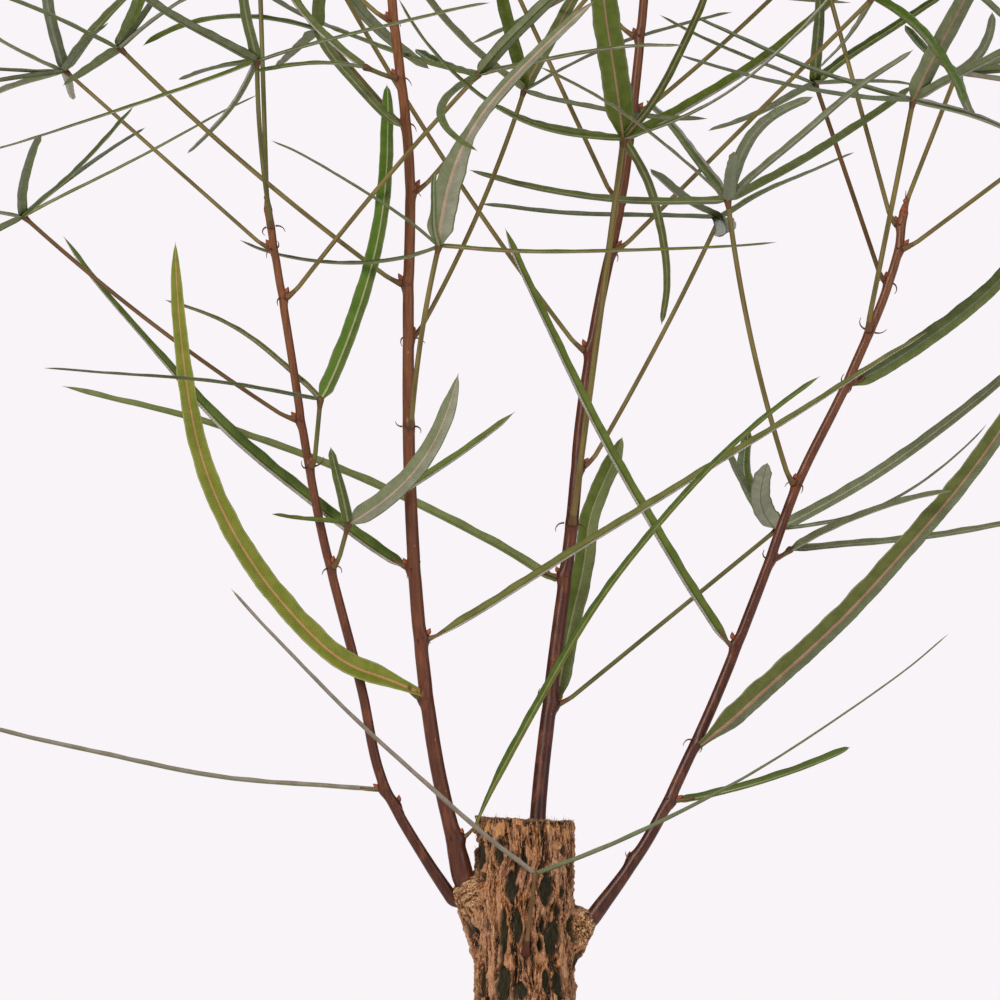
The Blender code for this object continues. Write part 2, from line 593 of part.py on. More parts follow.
def place_leaves():
    """Each leaf's stalk and blades, settled clear of the shoots and of one another."""
    space = Space()
    samples = np.linspace(0, 1, PATH_SAMPLES)
    for name, shoot in SHOOTS.items():
        heights = np.linspace(shoot["rise"][0], shoot["rise"][-1], 3 * PATH_SAMPLES)
        places = [shoot_place(name, height) for height in heights]
        space.add(name, np.array([place[0] for place in places]), np.array([place[2] for place in places]))
    plans = leaf_plans()
    stalks = {}
    stalk_half = np.full(PATH_SAMPLES, STALK_FOOT_RADIUS)
    for name, foot, out, vector, bow, rows in plans:
        start = foot + out * STALK_ROOT
        skip = min(MOST_SKIPPED, STALK_NEAR_SHOOT / np.linalg.norm(vector))
        path_at = settle(space, name, start, vector, bow, stalk_half, skip)
        if path_at is None:
            path_at = bowed_path(start, vector, bow)
        space.add(name, path_at(samples), stalk_half)
        stalks[name] = path_at
    placed = {}
    for name, foot, out, vector, bow, rows in plans:
        hub = stalks[name](np.array([1.0]))[0]
        blades = []
        for blade_vector, blade_bow, width, turn, skew in rows:
            half = 0.5 * width * blade_outline(samples)
            blade_at = settle(space, name, hub, blade_vector, blade_bow, half, skew=skew)
            if blade_at is None:
                continue
            space.add(name, blade_at(samples), half)
            blades.append((blade_at, np.linalg.norm(blade_vector), width, turn))
        placed[name] = (out, stalks[name], hub, blades)
    return placed


def make_leaf(name, out, stalk_at, hub, blades, finish):
    """Stalk, hub and blades fused into one solid. The stalk's root stands square to the shoot."""
    start = stalk_at(np.array([0.0]))[0]
    length = np.linalg.norm(hub - start)
    stations = np.array([0.0, 1.0])
    if length > 3 * STALK_TAPER_LENGTH:
        stations = np.sort([STALK_TAPER_LENGTH / length, *STALK_STATIONS])
    path = np.vstack([start - out * STALK_ROOT, stalk_at(stations)])
    radii = [STALK_FOOT_RADIUS, 0.5 * (STALK_FOOT_RADIUS + STALK_RADIUS)]
    radii += [STALK_RADIUS] * (len(stations) - 1)
    leaf = mesh_object(name, *tube(path, radii, STALK_SIDES, out), finish)
    others = [mesh_object("blade", *blade(*row), finish) for row in blades]
    radius = HUB_RADIUS if len(blades) > 1 else SINGLE_HUB_RADIUS
    others.append(mesh_object("hub", *ball(hub, (radius,) * 3, 1), finish))
    return combine(leaf, others)


def main():
    clear_scene()
    bark = material("bark", BARK)
    shoot_bark = material("shoot_bark", SHOOT_BARK)
    green = material("green_leaf", GREEN)
    yellow = material("yellow_leaf", YELLOW_GREEN)
    make_trunk(bark)
    for name in SHOOTS:
        make_shoot(name, shoot_bark)
    for name, leaf in place_leaves().items():
        make_leaf(name, *leaf, yellow if name == "leaf_yellow" else green)
    for made in bpy.data.objects:
        made.data.shade_smooth()
        made.data.set_sharp_from_angle(angle=math.radians(SHARP_ANGLE))


main()
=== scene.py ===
import math

import bpy
import mathutils
import numpy as np
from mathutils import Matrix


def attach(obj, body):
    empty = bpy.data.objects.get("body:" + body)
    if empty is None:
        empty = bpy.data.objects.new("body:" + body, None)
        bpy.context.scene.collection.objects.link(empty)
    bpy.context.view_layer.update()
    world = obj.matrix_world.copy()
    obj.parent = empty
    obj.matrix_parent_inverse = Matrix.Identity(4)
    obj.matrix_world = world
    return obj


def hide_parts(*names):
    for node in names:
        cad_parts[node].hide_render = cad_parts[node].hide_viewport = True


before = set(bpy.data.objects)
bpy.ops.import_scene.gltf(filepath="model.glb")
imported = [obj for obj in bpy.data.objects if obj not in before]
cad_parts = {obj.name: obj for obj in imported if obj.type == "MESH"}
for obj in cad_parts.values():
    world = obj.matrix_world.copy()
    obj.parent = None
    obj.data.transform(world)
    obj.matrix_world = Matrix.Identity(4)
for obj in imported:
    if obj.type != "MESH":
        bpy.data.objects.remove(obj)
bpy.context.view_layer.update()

# Looks for a young bottle tree, sawn off low and sprouting again with four long shoots.
# Lengths are in millimetres and angles in degrees; mm turns them into metres at the very end.
# A lean is measured in the XZ plane from +X, and a depth is how far an end lies behind its start.
mm = 0.001
gap = 0.3
fullTurn = 2 * math.pi
upward = np.array([0, 0, 1])


def unit(vector):
    return vector / np.linalg.norm(vector)


def levelOut(azimuth):
    return np.array([math.cos(azimuth), math.sin(azimuth), 0])


def mixed(pair, share):
    return pair[0] + share * (pair[1] - pair[0])


def bell(value):
    return np.exp(-(value**2))


def parabola(s, start, middle, end):
    # From start to end, setting out towards middle
    return (1 - s) ** 2 * start + 2 * s * (1 - s) * middle + s**2 * end


def rowUnits(vectors):
    return vectors / np.linalg.norm(vectors, axis=1)[:, None]


def easeBetween(low, high, value):
    # 0 below low, 1 above high, and the cubic 3tt - 2ttt between
    t = np.clip((value - low) / (high - low), 0, 1)
    return t * t * (3 - 2 * t)


def smoothThrough(at, places, values):
    # Cubic curve through the values at their places, with the mean slope at each
    places, values = np.array(places, float), np.array(values, float)
    slopes = np.gradient(values, places)
    first = np.clip(np.searchsorted(places, at) - 1, 0, len(places) - 2)
    span = places[first + 1] - places[first]
    t = (at - places[first]) / span
    return (
        (1 + 2 * t) * (1 - t) ** 2 * values[first]
        + t * (1 - t) ** 2 * span * slopes[first]
        + t**2 * (3 - 2 * t) * values[first + 1]
        + t**2 * (t - 1) * span * slopes[first + 1]
    )


latticeSize = 256


def cloud(x, y, seed, wrap=latticeSize):
    # Smooth noise from 0 to 1: seeded values on a square lattice, joined by a cubic ease along
    # both sides of each square. The pattern comes round again after wrap squares along x.
    lattice = np.random.default_rng(seed).random((latticeSize, latticeSize))
    x0, y0 = np.floor(x).astype(int), np.floor(y).astype(int)
    fx, fy = easeBetween(0, 1, x - x0), easeBetween(0, 1, y - y0)
    left, right = x0 % wrap, (x0 + 1) % wrap
    low, high = y0 % latticeSize, (y0 + 1) % latticeSize
    lower = lattice[low, left] * (1 - fx) + lattice[low, right] * fx
    upper = lattice[high, left] * (1 - fx) + lattice[high, right] * fx
    return lower * (1 - fy) + upper * fy


# The limbs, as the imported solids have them

stump = {
    "height": 150,
    "topRadius": 13.7,
    "swell": 5.2,
    "swellHeight": 112,
    "flare": 5.5,
    "flareHeight": 9,
    "flareLobes": 5,
    "lobeShare": 0.14,
    "lobeHeight": 14.4,
    "topSlope": 0.05,
    "slopePower": 4,
}

burls = {  # centre, then half sizes, of the lumps of callus
    "left": ((-13.4, -2, 127.5), (5.6, 7.2, 6.8)),
    "right": ((13.4, 0, 119.8), (5.4, 6, 6.4)),
    "back": ((2.6, 13, 127), (6.5, 4.6, 8)),
}

shoots = {  # x at a few heights, depth at foot and tip, radius at foot and tip
    "shoot_1": {
        "rise": (128, 139, 159.5, 186, 232, 288, 320),
        "run": (-20.4, -27.7, -39.2, -45.4, -57, -66.4, -71.5),
        "depth": (-3, -18),
        "radius": (1.55, 1.1),
    },
    "shoot_2": {
        "rise": (134.6, 166, 197, 240, 290, 330, 379, 421),
        "run": (-17.4, -24.6, -28.8, -31.8, -32.4, -32, -37, -40),
        "depth": (-4, -30),
        "radius": (2.2, 1.25),
    },
    "shoot_3": {
        "rise": (136, 152, 190, 233, 265, 295, 325, 357, 424),
        "run": (3, 3.9, 8, 13.4, 16.4, 21.2, 27.4, 31.5, 37.5),
        "depth": (16, 38),
        "radius": (2.3, 1.2),
    },
    "shoot_4": {
        "rise": (122.4, 140, 172, 216, 245, 274, 312, 321),
        "run": (19, 31.8, 48.3, 66.4, 77.2, 91.4, 105.7, 107),
        "depth": (0, 14),
        "radius": (1.75, 1.25),
    },
}
shootTaper = 1.4


def stumpRadius(height):
    # Top radius, plus a cosine swelling below, plus a flare that dies away upwards
    low = np.clip(height / stump["swellHeight"], 0, 1)
    swell = stump["swell"] * (0.5 + 0.5 * np.cos(math.pi * low))
    return stump["topRadius"] + swell + stump["flare"] * np.exp(-height / stump["flareHeight"])


def shootCentre(name, heights):
    shoot = shoots[name]
    rise = shoot["rise"]
    share = (heights - rise[0]) / (rise[-1] - rise[0])
    return np.stack([smoothThrough(heights, rise, shoot["run"]), mixed(shoot["depth"], share), heights], -1)


def shootPlaces(name, heights):
    # Centre, direction and radius of a shoot at each height
    heights = np.atleast_1d(np.array(heights, float))
    rise, (foot, tip) = shoots[name]["rise"], shoots[name]["radius"]
    share = np.clip((heights - rise[0]) / (rise[-1] - rise[0]), 0, 1)
    radii = tip + (foot - tip) * (1 - share) ** shootTaper
    steps = shootCentre(name, heights + 0.5) - shootCentre(name, heights - 0.5)
    return shootCentre(name, heights), rowUnits(steps), radii


# The leaves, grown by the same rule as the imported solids

leafRule = {
    "stalkFoot": 0.95,
    "stalkRoot": 1.3,
    "nearShoot": 9,
    "mostSkipped": 0.9,
    "shortStalk": 3.5,
    "baseShare": 0.16,
    "baseLength": 0.12,
    "basePower": 0.8,
    "tipPowers": (5, 0.8),
    "mostInLine": 0.86,
    "width": (2, 0.022, 4.8),
    "depthShare": (0.12, 0.82),
    "mostTurn": 55,
    "depthSteps": (0, 6, -6, 12, -12, 18, -18, 26, -26, 34, -34),
    "pathSamples": 72,
    "seed": 11,
}

# Long simple leaves low on the plant: shoot, height on it, then the blade's lean, reach, depth,
# bow, width, the angle that its upper side is turned to the front, and how far the bow is skewed
simpleLeaves = {
    "yellow": ("shoot_2", 184, 117.6, 142, -34, 23, 7, 70, 0.45),
    "dark_left": ("shoot_2", 220, 135.5, 135, 26, 6, 4.4, 50, 0.2),
    "long_left": ("shoot_3", 218, 159, 148, -16, -6.5, 3.8, 40, 0.2),
    "long_right": ("shoot_2", 200, 31.5, 160, -44, 0, 3.6, 45, 0),
    "rising": ("shoot_2", 144, 52.5, 160, -50, 11, 3.4, 45, -0.4),
    "behind": ("shoot_3", 184, 75.8, 78, 24, 1.5, 6, 75, 0),
    "crossing": ("shoot_4", 198, 118.4, 131, -30, 3, 3.4, 50, 0),
    "low_left": ("shoot_1", 159, 168.6, 137, 8, 5.2, 2.4, 35, 0),
    "broad_right": ("shoot_4", 172, 48, 134, -28, -5, 6.8, -60, -0.3),
    "short_right": ("shoot_4", 156, 18, 50, -10, -1.5, 3.4, 40, 0),
    "far_right": ("shoot_4", 273, 42.5, 78, 30, -5.5, 5.6, 60, -0.3),
}

# Palmate leaves: shoot, height on it, stalk (lean, reach, depth, bow), length of a leaflet, then
# each leaflet's lean and reach, and where they matter its bow, width, turn to the front and skew
palmateLeaves = {
    "p": ("shoot_1", 220, (74, 12.3, -8, 0), 58, [
        (102, 20, 0, 3.2, 60), (172, 22, 0, 2.6, 30), (53, 51, -6, 6.6, -70), (34, 56, -1, 3, 50)]),
    "h": ("shoot_1", 248, (84, 18.5, -10, 0), 88, [
        (175, 75, -1.5, 2.6, 30), (145, 57, -4, 2.2, 30), (78, 89, -6, 4.6, 60)]),
    "i": ("shoot_2", 259.5, (80.5, 48.5, -42, 1), 92, [
        (56, 76, 9, 5.8, -75, 0.6), (174, 57, 5.7, 2.9, 25), (152, 50, -2, 2.2, 30),
        (1, 93, -2, 2, 30), (92, 15, 1, 1.9, -50)]),
    "g": ("shoot_1", 261.4, (142.8, 93, -14, 2), 78, [
        (66, 20, 2, 2.8, 50), (43, 43, 1, 3, 50), (38, 42, -1, 2.6, 35), (29, 74, 0, 1.6, 30),
        (172, 62), (203, 52)]),
    "a": ("shoot_1", 309, (137.8, 78, 32, 0), 88, [
        (92, 46, 3, 3.4, -60), (55, 44, 2), (26, 17, 1), (142, 60, 4), (178, 66, 2), (199, 50, -3),
        (189, 72, 1), (252, 3, 0, 2.6, -60)]),
    "b": ("shoot_2", 298.7, (140, 100, -20, 2), 86, [
        (166, 62, -3, 3.4, 40), (71, 38, 1), (51, 44, -1), (40, 52, 2), (20, 31, 2, 2.4, 30),
        (204, 38, 0)]),
    "c": ("shoot_2", 343, (129, 38, 34, 0), 80, [
        (192, 48, -6, 3.2, 40), (205, 15, 0, 5, 40), (307, 41, -2, 3.4, -55), (80, 52, 2),
        (120, 58, 3)]),
    "d": ("shoot_1", 315, (94, 43, -36, 1), 84, [
        (93, 34, 2, 3, 60), (180, 24, -1), (152, 44, 2), (197, 80, 1, 2.8, 30),
        (10, 65, 1, 2.4, 35), (224, 30, 2, 1.8, -50)]),
    "e": ("shoot_1", None, (92, 60, 6, 0), 76, [
        (186, 60, -1, 2.6, 30), (348, 25, -1), (100, 52, 1), (60, 50, 2), (135, 52, 2)]),
    "f": ("shoot_1", 295, (48.5, 79, -32, 1), 84, [
        (39.5, 60, 2, 4, -60), (145, 22, 1), (270, 26, -10, 2.6, -60), (155.6, 47, 1, 3, 40),
        (3, 55, 2, 2.8, 35)]),
    "j": ("shoot_2", 283.8, (67, 78, 32, -2), 88, [
        (102, 58, 1, 3.8, 50), (60, 62, 2), (136, 58, 3), (24, 66, 3), (345, 52, -2)]),
    "k": ("shoot_3", 233.2, (82.5, 106.3, -48, 0), 104, [
        (97.4, 76, 1, 8, -75), (36.4, 80, -3, 4.6, 60), (65, 62, -5, 2.4, 40),
        (156.6, 41, 2, 3.4, 40), (152, 70, 11, 3.2, 45), (284, 49, 5.5, 4.4, 60),
        (33, 71, -7, 2.4, 40)]),
    "l": ("shoot_4", 243.5, (103.5, 79, -40, 2), 96, [
        (47, 31, 6, 4.2, -60), (34.4, 66, -1.5, 3.2, 50), (36.5, 60, 1.5, 2.6, -40),
        (122.3, 40, -1, 3.4, 45), (149.3, 61, -3, 3.2, 45), (170, 73, 3.5, 3.4, 50),
        (92, 8, 0, 3.6, -60)]),
    "l_back": ("shoot_3", 249.7, (62.3, 81, 12, -1), 82, [
        (256, 10, 2, 5.2, -50), (29.5, 47, 1, 2.2, 40), (156.5, 23, 1), (174.5, 69, 1, 2.6, 40)]),
    "m": ("shoot_4", 301, (106.3, 62, 44, 0), 72, [
        (91.6, 26, 0, 3.4, 50), (36.8, 50, 1), (161.8, 48, 1, 3.2, 40), (198, 31, 1), (349, 28, 1)]),
    "n": ("shoot_4", 287, (79.5, 63, -36, 0), 88, [
        (61.6, 55, 1, 6, -70), (346, 50, 2), (173, 67, 2.5, 3.2, 45), (155.4, 66, 2, 3.4, 45),
        (20, 62, 3)]),
    "o": ("shoot_4", None, (68.3, 41.4, 10, 0), 62, [
        (61, 15, -3, 3.2, -60), (16, 44, 1), (359, 50, 1), (310, 12, -1, 3, -60), (345, 46, 1),
        (125, 22, 1)]),
    "r": ("shoot_3", 182.5, (39.3, 79.8, 22, 0), 84, [
        (107, 17, 3.5, 6.4, -60), (101, 32, 5, 4.8, 60), (129, 26, 1, 2.8, -40),
        (34.6, 84, -3, 4.2, 50), (26, 63, -7, 2.6, 35)]),
    "s": ("shoot_4", 223.4, (40, 5, 3, 0), 66, [(19, 46, 2.5, 4.2, 50), (7.5, 68, -1, 4.2, 30)]),
    "t": ("shoot_2", 356, (160, 8, -6, 0), 46, [(188, 31, -2, 3, 35), (132, 34, 2, 3, 35)]),
    "u1": ("shoot_2", 324.4, (50, 90, 24, 0), 92, [
        (100, 66, 2), (62, 72, 3), (28, 74, 4), (352, 66, -3), (150, 60, -3), (204, 48, 2)]),
    "u2": ("shoot_3", 282, (123.4, 127, -8, 2.5), 92, [
        (108, 72, 3), (70, 66, 3), (148, 70, -4), (176, 72, -3), (24, 60, 4), (322, 34, -2)]),
    "u3": ("shoot_3", 326, (114, 75, 34, 0), 88, [
        (92, 66, 2), (128, 64, -3), (160, 66, -4), (50, 64, 3), (14, 56, 3)]),
    "u4": ("shoot_3", 311.3, (44.3, 99, -36, 0), 84, [
        (298, 43, 4, 4.8, 60), (230, 22, 1, 2.6, 40), (96, 58, 2), (58, 66, 3), (22, 62, 3),
        (160, 52, -3)]),
    "u5": ("shoot_4", 317, (104.5, 88, 18, 0), 96, [
        (247, 92, -5.5, 3.2, 50), (100, 66, 2), (64, 66, 3), (140, 68, -4), (20, 64, 4)]),
    "u6": ("shoot_4", 310.7, (36.3, 74, -28, 0), 84, [
        (80, 60, 2), (42, 68, 3), (6, 64, 3), (332, 50, -3), (130, 54, -3)]),
}

# The leaf on a short stalk of its own, on the front of the stump
stumpLeaf = {
    "foot": (0.2, 112.5),
    "stalk": (83, 22.5, -7, 0),
    "leaflet": 125,
    "leaflets": [(136.8, 114, 2.8, 2.2, -40), (30.2, 132, -6, 2.2, -40)],
}

# Leaves near the two tall tips, set round their shoot by a spiral rule
crownLeaves = {
    "heights": {"shoot_2": (372, 388, 405, None), "shoot_3": (351, 372, 391, 409, None)},
    "firstTurn": {"shoot_2": 150, "shoot_3": 20},
    "spiralTurn": 137.5,
    "stalkLength": (86, 52),
    "stalkRise": (42, 74),
    "stalkBow": (0, 0, -2),
    "leafletLength": (96, 78),
    "leaflets": 6,
    "spread": 64,
    "spreadVaries": 14,
    "smallest": 0.72,
    "bow": (0.02, 0.09),
    "mostTurn": 50,
    "ringStart": (0.3, 0.2, 1),
}

ruleDice = np.random.default_rng(leafRule["seed"])


def bladeOutline(t):
    # Share of the full width: narrow at the base, even along the middle, drawn out to the tip
    t = np.maximum(t, 0)
    rise, fall = leafRule["tipPowers"]
    opening = (1 - leafRule["baseShare"]) * (t / leafRule["baseLength"]) ** leafRule["basePower"]
    return np.minimum(1, leafRule["baseShare"] + opening) * (1 - t**rise) ** fall


def facingOf(chord, faceTurn):
    # Up, turned towards the front by faceTurn, and a quarter turn on if that is the blade's line
    turn = math.radians(faceTurn)
    inLine = abs(-math.sin(turn) * chord[1] + math.cos(turn) * chord[2])
    if inLine > leafRule["mostInLine"] * np.linalg.norm(chord):
        turn += 0.5 * math.pi
    return np.array([0, -math.sin(turn), math.cos(turn)])


def bowedPath(start, vector, bow, skew=0):
    # Start plus t times the vector, plus a parabola of height bow that leans to the base by skew
    return lambda t: start + np.outer(t, vector) + np.outer(4 * t * (1 - t) * (1 + skew * (0.5 - t)), bow)


def takeSpace(space, owner, points, half):
    low, high = (points - half[:, None]).min(axis=0), (points + half[:, None]).max(axis=0)
    space.append((owner, points, half, low, high))


def isFree(space, owner, points, half):
    low = (points - half[:, None]).min(axis=0) - gap
    high = (points + half[:, None]).max(axis=0) + gap
    for other, places, otherHalf, otherLow, otherHigh in space:
        if other == owner or (otherLow > high).any() or (otherHigh < low).any():
            continue
        apart = np.sqrt(((points[:, None] - places[None]) ** 2).sum(axis=2))
        if (apart - half[:, None] - otherHalf).min() < gap:
            return False
    return True


def settle(space, owner, start, vector, bow, half, skip=0, skew=0):
    # The path at the first step in depth that leaves it clear of all others, or None
    t = np.linspace(0, 1, leafRule["pathSamples"])
    tested = t >= skip
    for step in leafRule["depthSteps"]:
        pathAt = bowedPath(start, vector + np.array([0, step, 0]), bow, skew)
        if isFree(space, owner, pathAt(t)[tested], half[tested]):
            return pathAt
    return None


def seenVector(lean, reach, depth):
    angle = math.radians(lean)
    return np.array([reach * math.cos(angle), depth, reach * math.sin(angle)])


def seenBow(lean, bow):
    angle = math.radians(lean)
    return np.array([-bow * math.sin(angle), 0, bow * math.cos(angle)])


def ruleWidth(length):
    least, perLength, most = leafRule["width"]
    return min(least + perLength * length, most)


def leafletRule(index, length, lean, reach, bow=0, width=None, turn=None, skew=0):
    # Fills in what a leaflet's row leaves out, and finds its depth from its true length
    least, most = leafRule["depthShare"]
    depth = math.sqrt(max(length**2 - reach**2, 0))
    depth = min(max(depth, least * length), most * length) * (1 if index % 2 else -1)
    ruleTurn = ruleDice.uniform(-leafRule["mostTurn"], leafRule["mostTurn"])
    turn = ruleTurn if turn is None else turn
    width = ruleWidth(length) if width is None else width
    return seenVector(lean, reach, depth), seenBow(lean, bow), width, turn, skew


def crownLeaflets(stalk, length):
    # Leaflets round the end of a stalk, evenly turned and spread to one angle from it
    plan, count = crownLeaves, crownLeaves["leaflets"]
    along = unit(stalk)
    side = unit(np.cross(along, plan["ringStart"]))
    up = np.cross(along, side)
    rows = []
    for k in range(count):
        roundAngle = fullTurn * (k + 0.5 * ruleDice.uniform(-0.5, 0.5)) / count
        spread = plan["spread"] + ruleDice.uniform(-plan["spreadVaries"], plan["spreadVaries"])
        spread = math.radians(spread)
        out = side * math.cos(roundAngle) + up * math.sin(roundAngle)
        size = length * ruleDice.uniform(plan["smallest"], 1)
        vector = size * (along * math.cos(spread) + out * math.sin(spread))
        bow = np.array([0, 0, size * ruleDice.uniform(*plan["bow"])])
        turn = ruleDice.uniform(-plan["mostTurn"], plan["mostTurn"])
        rows.append((vector, bow, ruleWidth(size), turn, 0))
    return rows


def leafFoot(shoot, height, vector):
    # Where a stalk starts, just clear of its shoot, and the direction square to the shoot
    if height is None:
        centre, direction, radius = shootPlaces(shoot, shoots[shoot]["rise"][-1])
        return centre[0] + direction[0] * gap, direction[0]
    centre, direction, radius = shootPlaces(shoot, height)
    out = unit(vector - vector.dot(direction[0]) * direction[0])
    return centre[0] + out * (radius[0] + gap), out


def leafPlans():
    # Every leaf as key, shoot, foot, outward direction, stalk vector and bow, and leaflet rows
    plans = []

    def plan(key, shoot, placed, vector, bow, rows):
        foot, out = placed
        plans.append((key, shoot, foot, out, vector, bow, rows))

    for key, (shoot, height, lean, reach, depth, bow, width, turn, skew) in simpleLeaves.items():
        vector = seenVector(lean, reach, depth)
        share = leafRule["shortStalk"] / np.linalg.norm(vector)
        rows = [(vector * (1 - share), seenBow(lean, bow), width, turn, skew)]
        placed = leafFoot(shoot, height, vector)
        plan(key, shoot, placed, vector * share, seenBow(lean, bow * share), rows)
    for key, (shoot, height, stalk, length, leaflets) in palmateLeaves.items():
        vector = seenVector(*stalk[:3])
        rows = [leafletRule(k, length, *leaflet) for k, leaflet in enumerate(leaflets)]
        plan(key, shoot, leafFoot(shoot, height, vector), vector, seenBow(stalk[0], stalk[3]), rows)
    x, height = stumpLeaf["foot"]
    stalk, forward = stumpLeaf["stalk"], np.array([0, -1, 0])
    foot = np.array([x, -stumpRadius(height) - gap, height])
    rows = [leafletRule(0, stumpLeaf["leaflet"], *row) for row in stumpLeaf["leaflets"]]
    plan("trunk", "trunk", (foot, forward), seenVector(*stalk[:3]), seenBow(stalk[0], stalk[3]), rows)
    rule = crownLeaves
    for shoot, heights in rule["heights"].items():
        for k, height in enumerate(heights):
            share = k / (len(heights) - 1)
            azimuth = math.radians(rule["firstTurn"][shoot] + rule["spiralTurn"] * k)
            rise = math.radians(mixed(rule["stalkRise"], share))
            level = math.cos(rise)
            vector = np.array([level * math.cos(azimuth), level * math.sin(azimuth), math.sin(rise)])
            vector = vector * mixed(rule["stalkLength"], share)
            placed = leafFoot(shoot, height, vector)
            rows = crownLeaflets(vector, mixed(rule["leafletLength"], share))
            plan(f"top_{shoot[-1]}_{k + 1}", shoot, placed, vector, np.array(rule["stalkBow"]), rows)
    return plans


def growLeaves():
    # Each leaf's stalk and blades, settled clear of the shoots and of one another
    space, grown = [], []
    rule, count = leafRule, leafRule["pathSamples"]
    samples = np.linspace(0, 1, count)
    for name, shoot in shoots.items():
        centres, _, radii = shootPlaces(name, np.linspace(shoot["rise"][0], shoot["rise"][-1], 3 * count))
        takeSpace(space, name, centres, radii)
    stalkHalf = np.full(count, rule["stalkFoot"])
    plans = leafPlans()
    for key, shoot, foot, out, vector, bow, rows in plans:
        start = foot + out * rule["stalkRoot"]
        skip = min(rule["mostSkipped"], rule["nearShoot"] / np.linalg.norm(vector))
        pathAt = settle(space, key, start, vector, bow, stalkHalf, skip) or bowedPath(start, vector, bow)
        takeSpace(space, key, pathAt(samples), stalkHalf)
        grown.append({"name": "leaf_" + key, "key": key, "shoot": shoot, "foot": foot, "out": out,
                      "stalkAt": pathAt, "hub": pathAt(np.array([1]))[0], "blades": []})
    for leaf, plan in zip(grown, plans):
        for vector, bow, width, turn, skew in plan[-1]:
            half = 0.5 * width * bladeOutline(samples)
            at = settle(space, leaf["key"], leaf["hub"], vector, bow, half, skew=skew)
            if at is not None:
                takeSpace(space, leaf["key"], at(samples), half)
                size = np.linalg.norm(vector)
                leaf["blades"].append({"at": at, "length": size, "width": width, "turn": turn})
    return grown


leaves = growLeaves()
print("leaves grown:", len(leaves), "blades:", sum(len(leaf["blades"]) for leaf in leaves))


# Skins: every piece is a stack of closed rings, worked out as whole arrays


def newHeap():
    parts = ("points", "quads", "fans", "quadPlaces", "fanPlaces", "quadSlots", "fanSlots")
    return {"size": 0, "marks": {}, **{part: [] for part in parts}}


def addRings(heap, rings, poles, across, along, slots, marks=None):
    # Neighbouring rings are joined by four-sided faces, and a fan of triangles runs to a pole at
    # each end. Each corner's UV is its place round the ring and its place along the piece.
    stations, count = rings.shape[:2]
    end = heap["size"] + stations * count
    index = np.arange(heap["size"], end).reshape(stations, count)
    beside = np.roll(index, -1, axis=1)
    heap["quads"].append(np.stack([index[:-1], beside[:-1], beside[1:], index[1:]], -1).reshape(-1, 4))
    first, last = np.full(count, end), np.full(count, end + 1)
    heap["fans"] += [np.stack([first, beside[0], index[0]], -1), np.stack([index[-1], beside[-1], last], -1)]
    places = np.stack(np.broadcast_arrays(across, along[:, None]), -1)
    corners = [places[:-1, :-1], places[:-1, 1:], places[1:, 1:], places[1:, :-1]]
    heap["quadPlaces"].append(np.stack(corners, 2).reshape(-1, 2))
    fan = np.stack([0.5 * (across[1:] + across[:-1]), across[1:], across[:-1]], 1)
    for level, order in ((along[0], fan), (along[-1], fan[:, ::-1])):
        heap["fanPlaces"].append(np.stack([order.ravel(), np.full(order.size, level)], -1))
    slots = np.broadcast_to(slots, (stations - 1, count))
    heap["quadSlots"].append(slots.reshape(-1))
    heap["fanSlots"] += [slots[0], slots[-1]]
    heap["points"] += [rings.reshape(-1, 3), np.asarray(poles, float)]
    for name, values in (marks or {}).items():
        values = np.broadcast_to(values, (stations, count))
        ended = np.array([values[0].mean(), values[-1].mean()])
        heap["marks"].setdefault(name, []).append(np.concatenate([values.reshape(-1), ended]))
    heap["size"] = end + 2


def makePiece(name, heap, finishes, nodes):
    # Puts a heap of skins into one mesh at its place, and ties it to the frame
    quads, fans = np.concatenate(heap["quads"]), np.concatenate(heap["fans"])
    mesh = bpy.data.meshes.new(name)

    def fill(items, key, values, kind=np.int32):
        items.foreach_set(key, np.concatenate(values).astype(kind).ravel())

    mesh.vertices.add(heap["size"])
    fill(mesh.vertices, "co", [point * mm for point in heap["points"]], np.float32)
    mesh.loops.add(quads.size + fans.size)
    fill(mesh.loops, "vertex_index", [quads.ravel(), fans.ravel()])
    mesh.polygons.add(len(quads) + len(fans))
    starts = [4 * np.arange(len(quads)), quads.size + 3 * np.arange(len(fans))]
    fill(mesh.polygons, "loop_start", starts)
    fill(mesh.polygons, "material_index", heap["quadSlots"] + heap["fanSlots"])
    mesh.update(calc_edges=True)
    places = mesh.uv_layers.new(name="skinPlace").data
    fill(places, "uv", heap["quadPlaces"] + heap["fanPlaces"], np.float32)
    for mark, values in heap["marks"].items():
        fill(mesh.attributes.new(mark, "FLOAT", "POINT").data, "value", values, np.float32)
    for finish in finishes:
        mesh.materials.append(finish)
    mesh.shade_smooth()
    mesh.validate()
    piece = bpy.data.objects.new(name, mesh)
    bpy.context.scene.collection.objects.link(piece)
    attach(piece, "root")
    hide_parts(*nodes)
    print(name, "triangles:", 2 * len(quads) + len(fans))


def squareFrames(path, reference):
    # At each point of a path its direction, and two unit vectors square to it that follow the
    # reference direction
    tangents = rowUnits(np.gradient(path, axis=0))
    sides = rowUnits(reference - (tangents @ reference)[:, None] * tangents)
    return tangents, sides, np.cross(tangents, sides)


def tubeRings(path, radii, count, reference):
    # Circles square to the path: centre + radius * (cos * side + sin * up)
    _, sides, ups = squareFrames(path, np.asarray(reference, float))
    angles = fullTurn * np.arange(count)[None, :, None] / count
    ring = np.cos(angles) * sides[:, None] + np.sin(angles) * ups[:, None]
    return path[:, None] + ring * radii[:, None, None], ring


def addTube(heap, path, radii, count, reference, poles, along, slots=0):
    rings, _ = tubeRings(path, radii, count, reference)
    addRings(heap, rings, poles, np.linspace(0, 1, count + 1), along, slots)


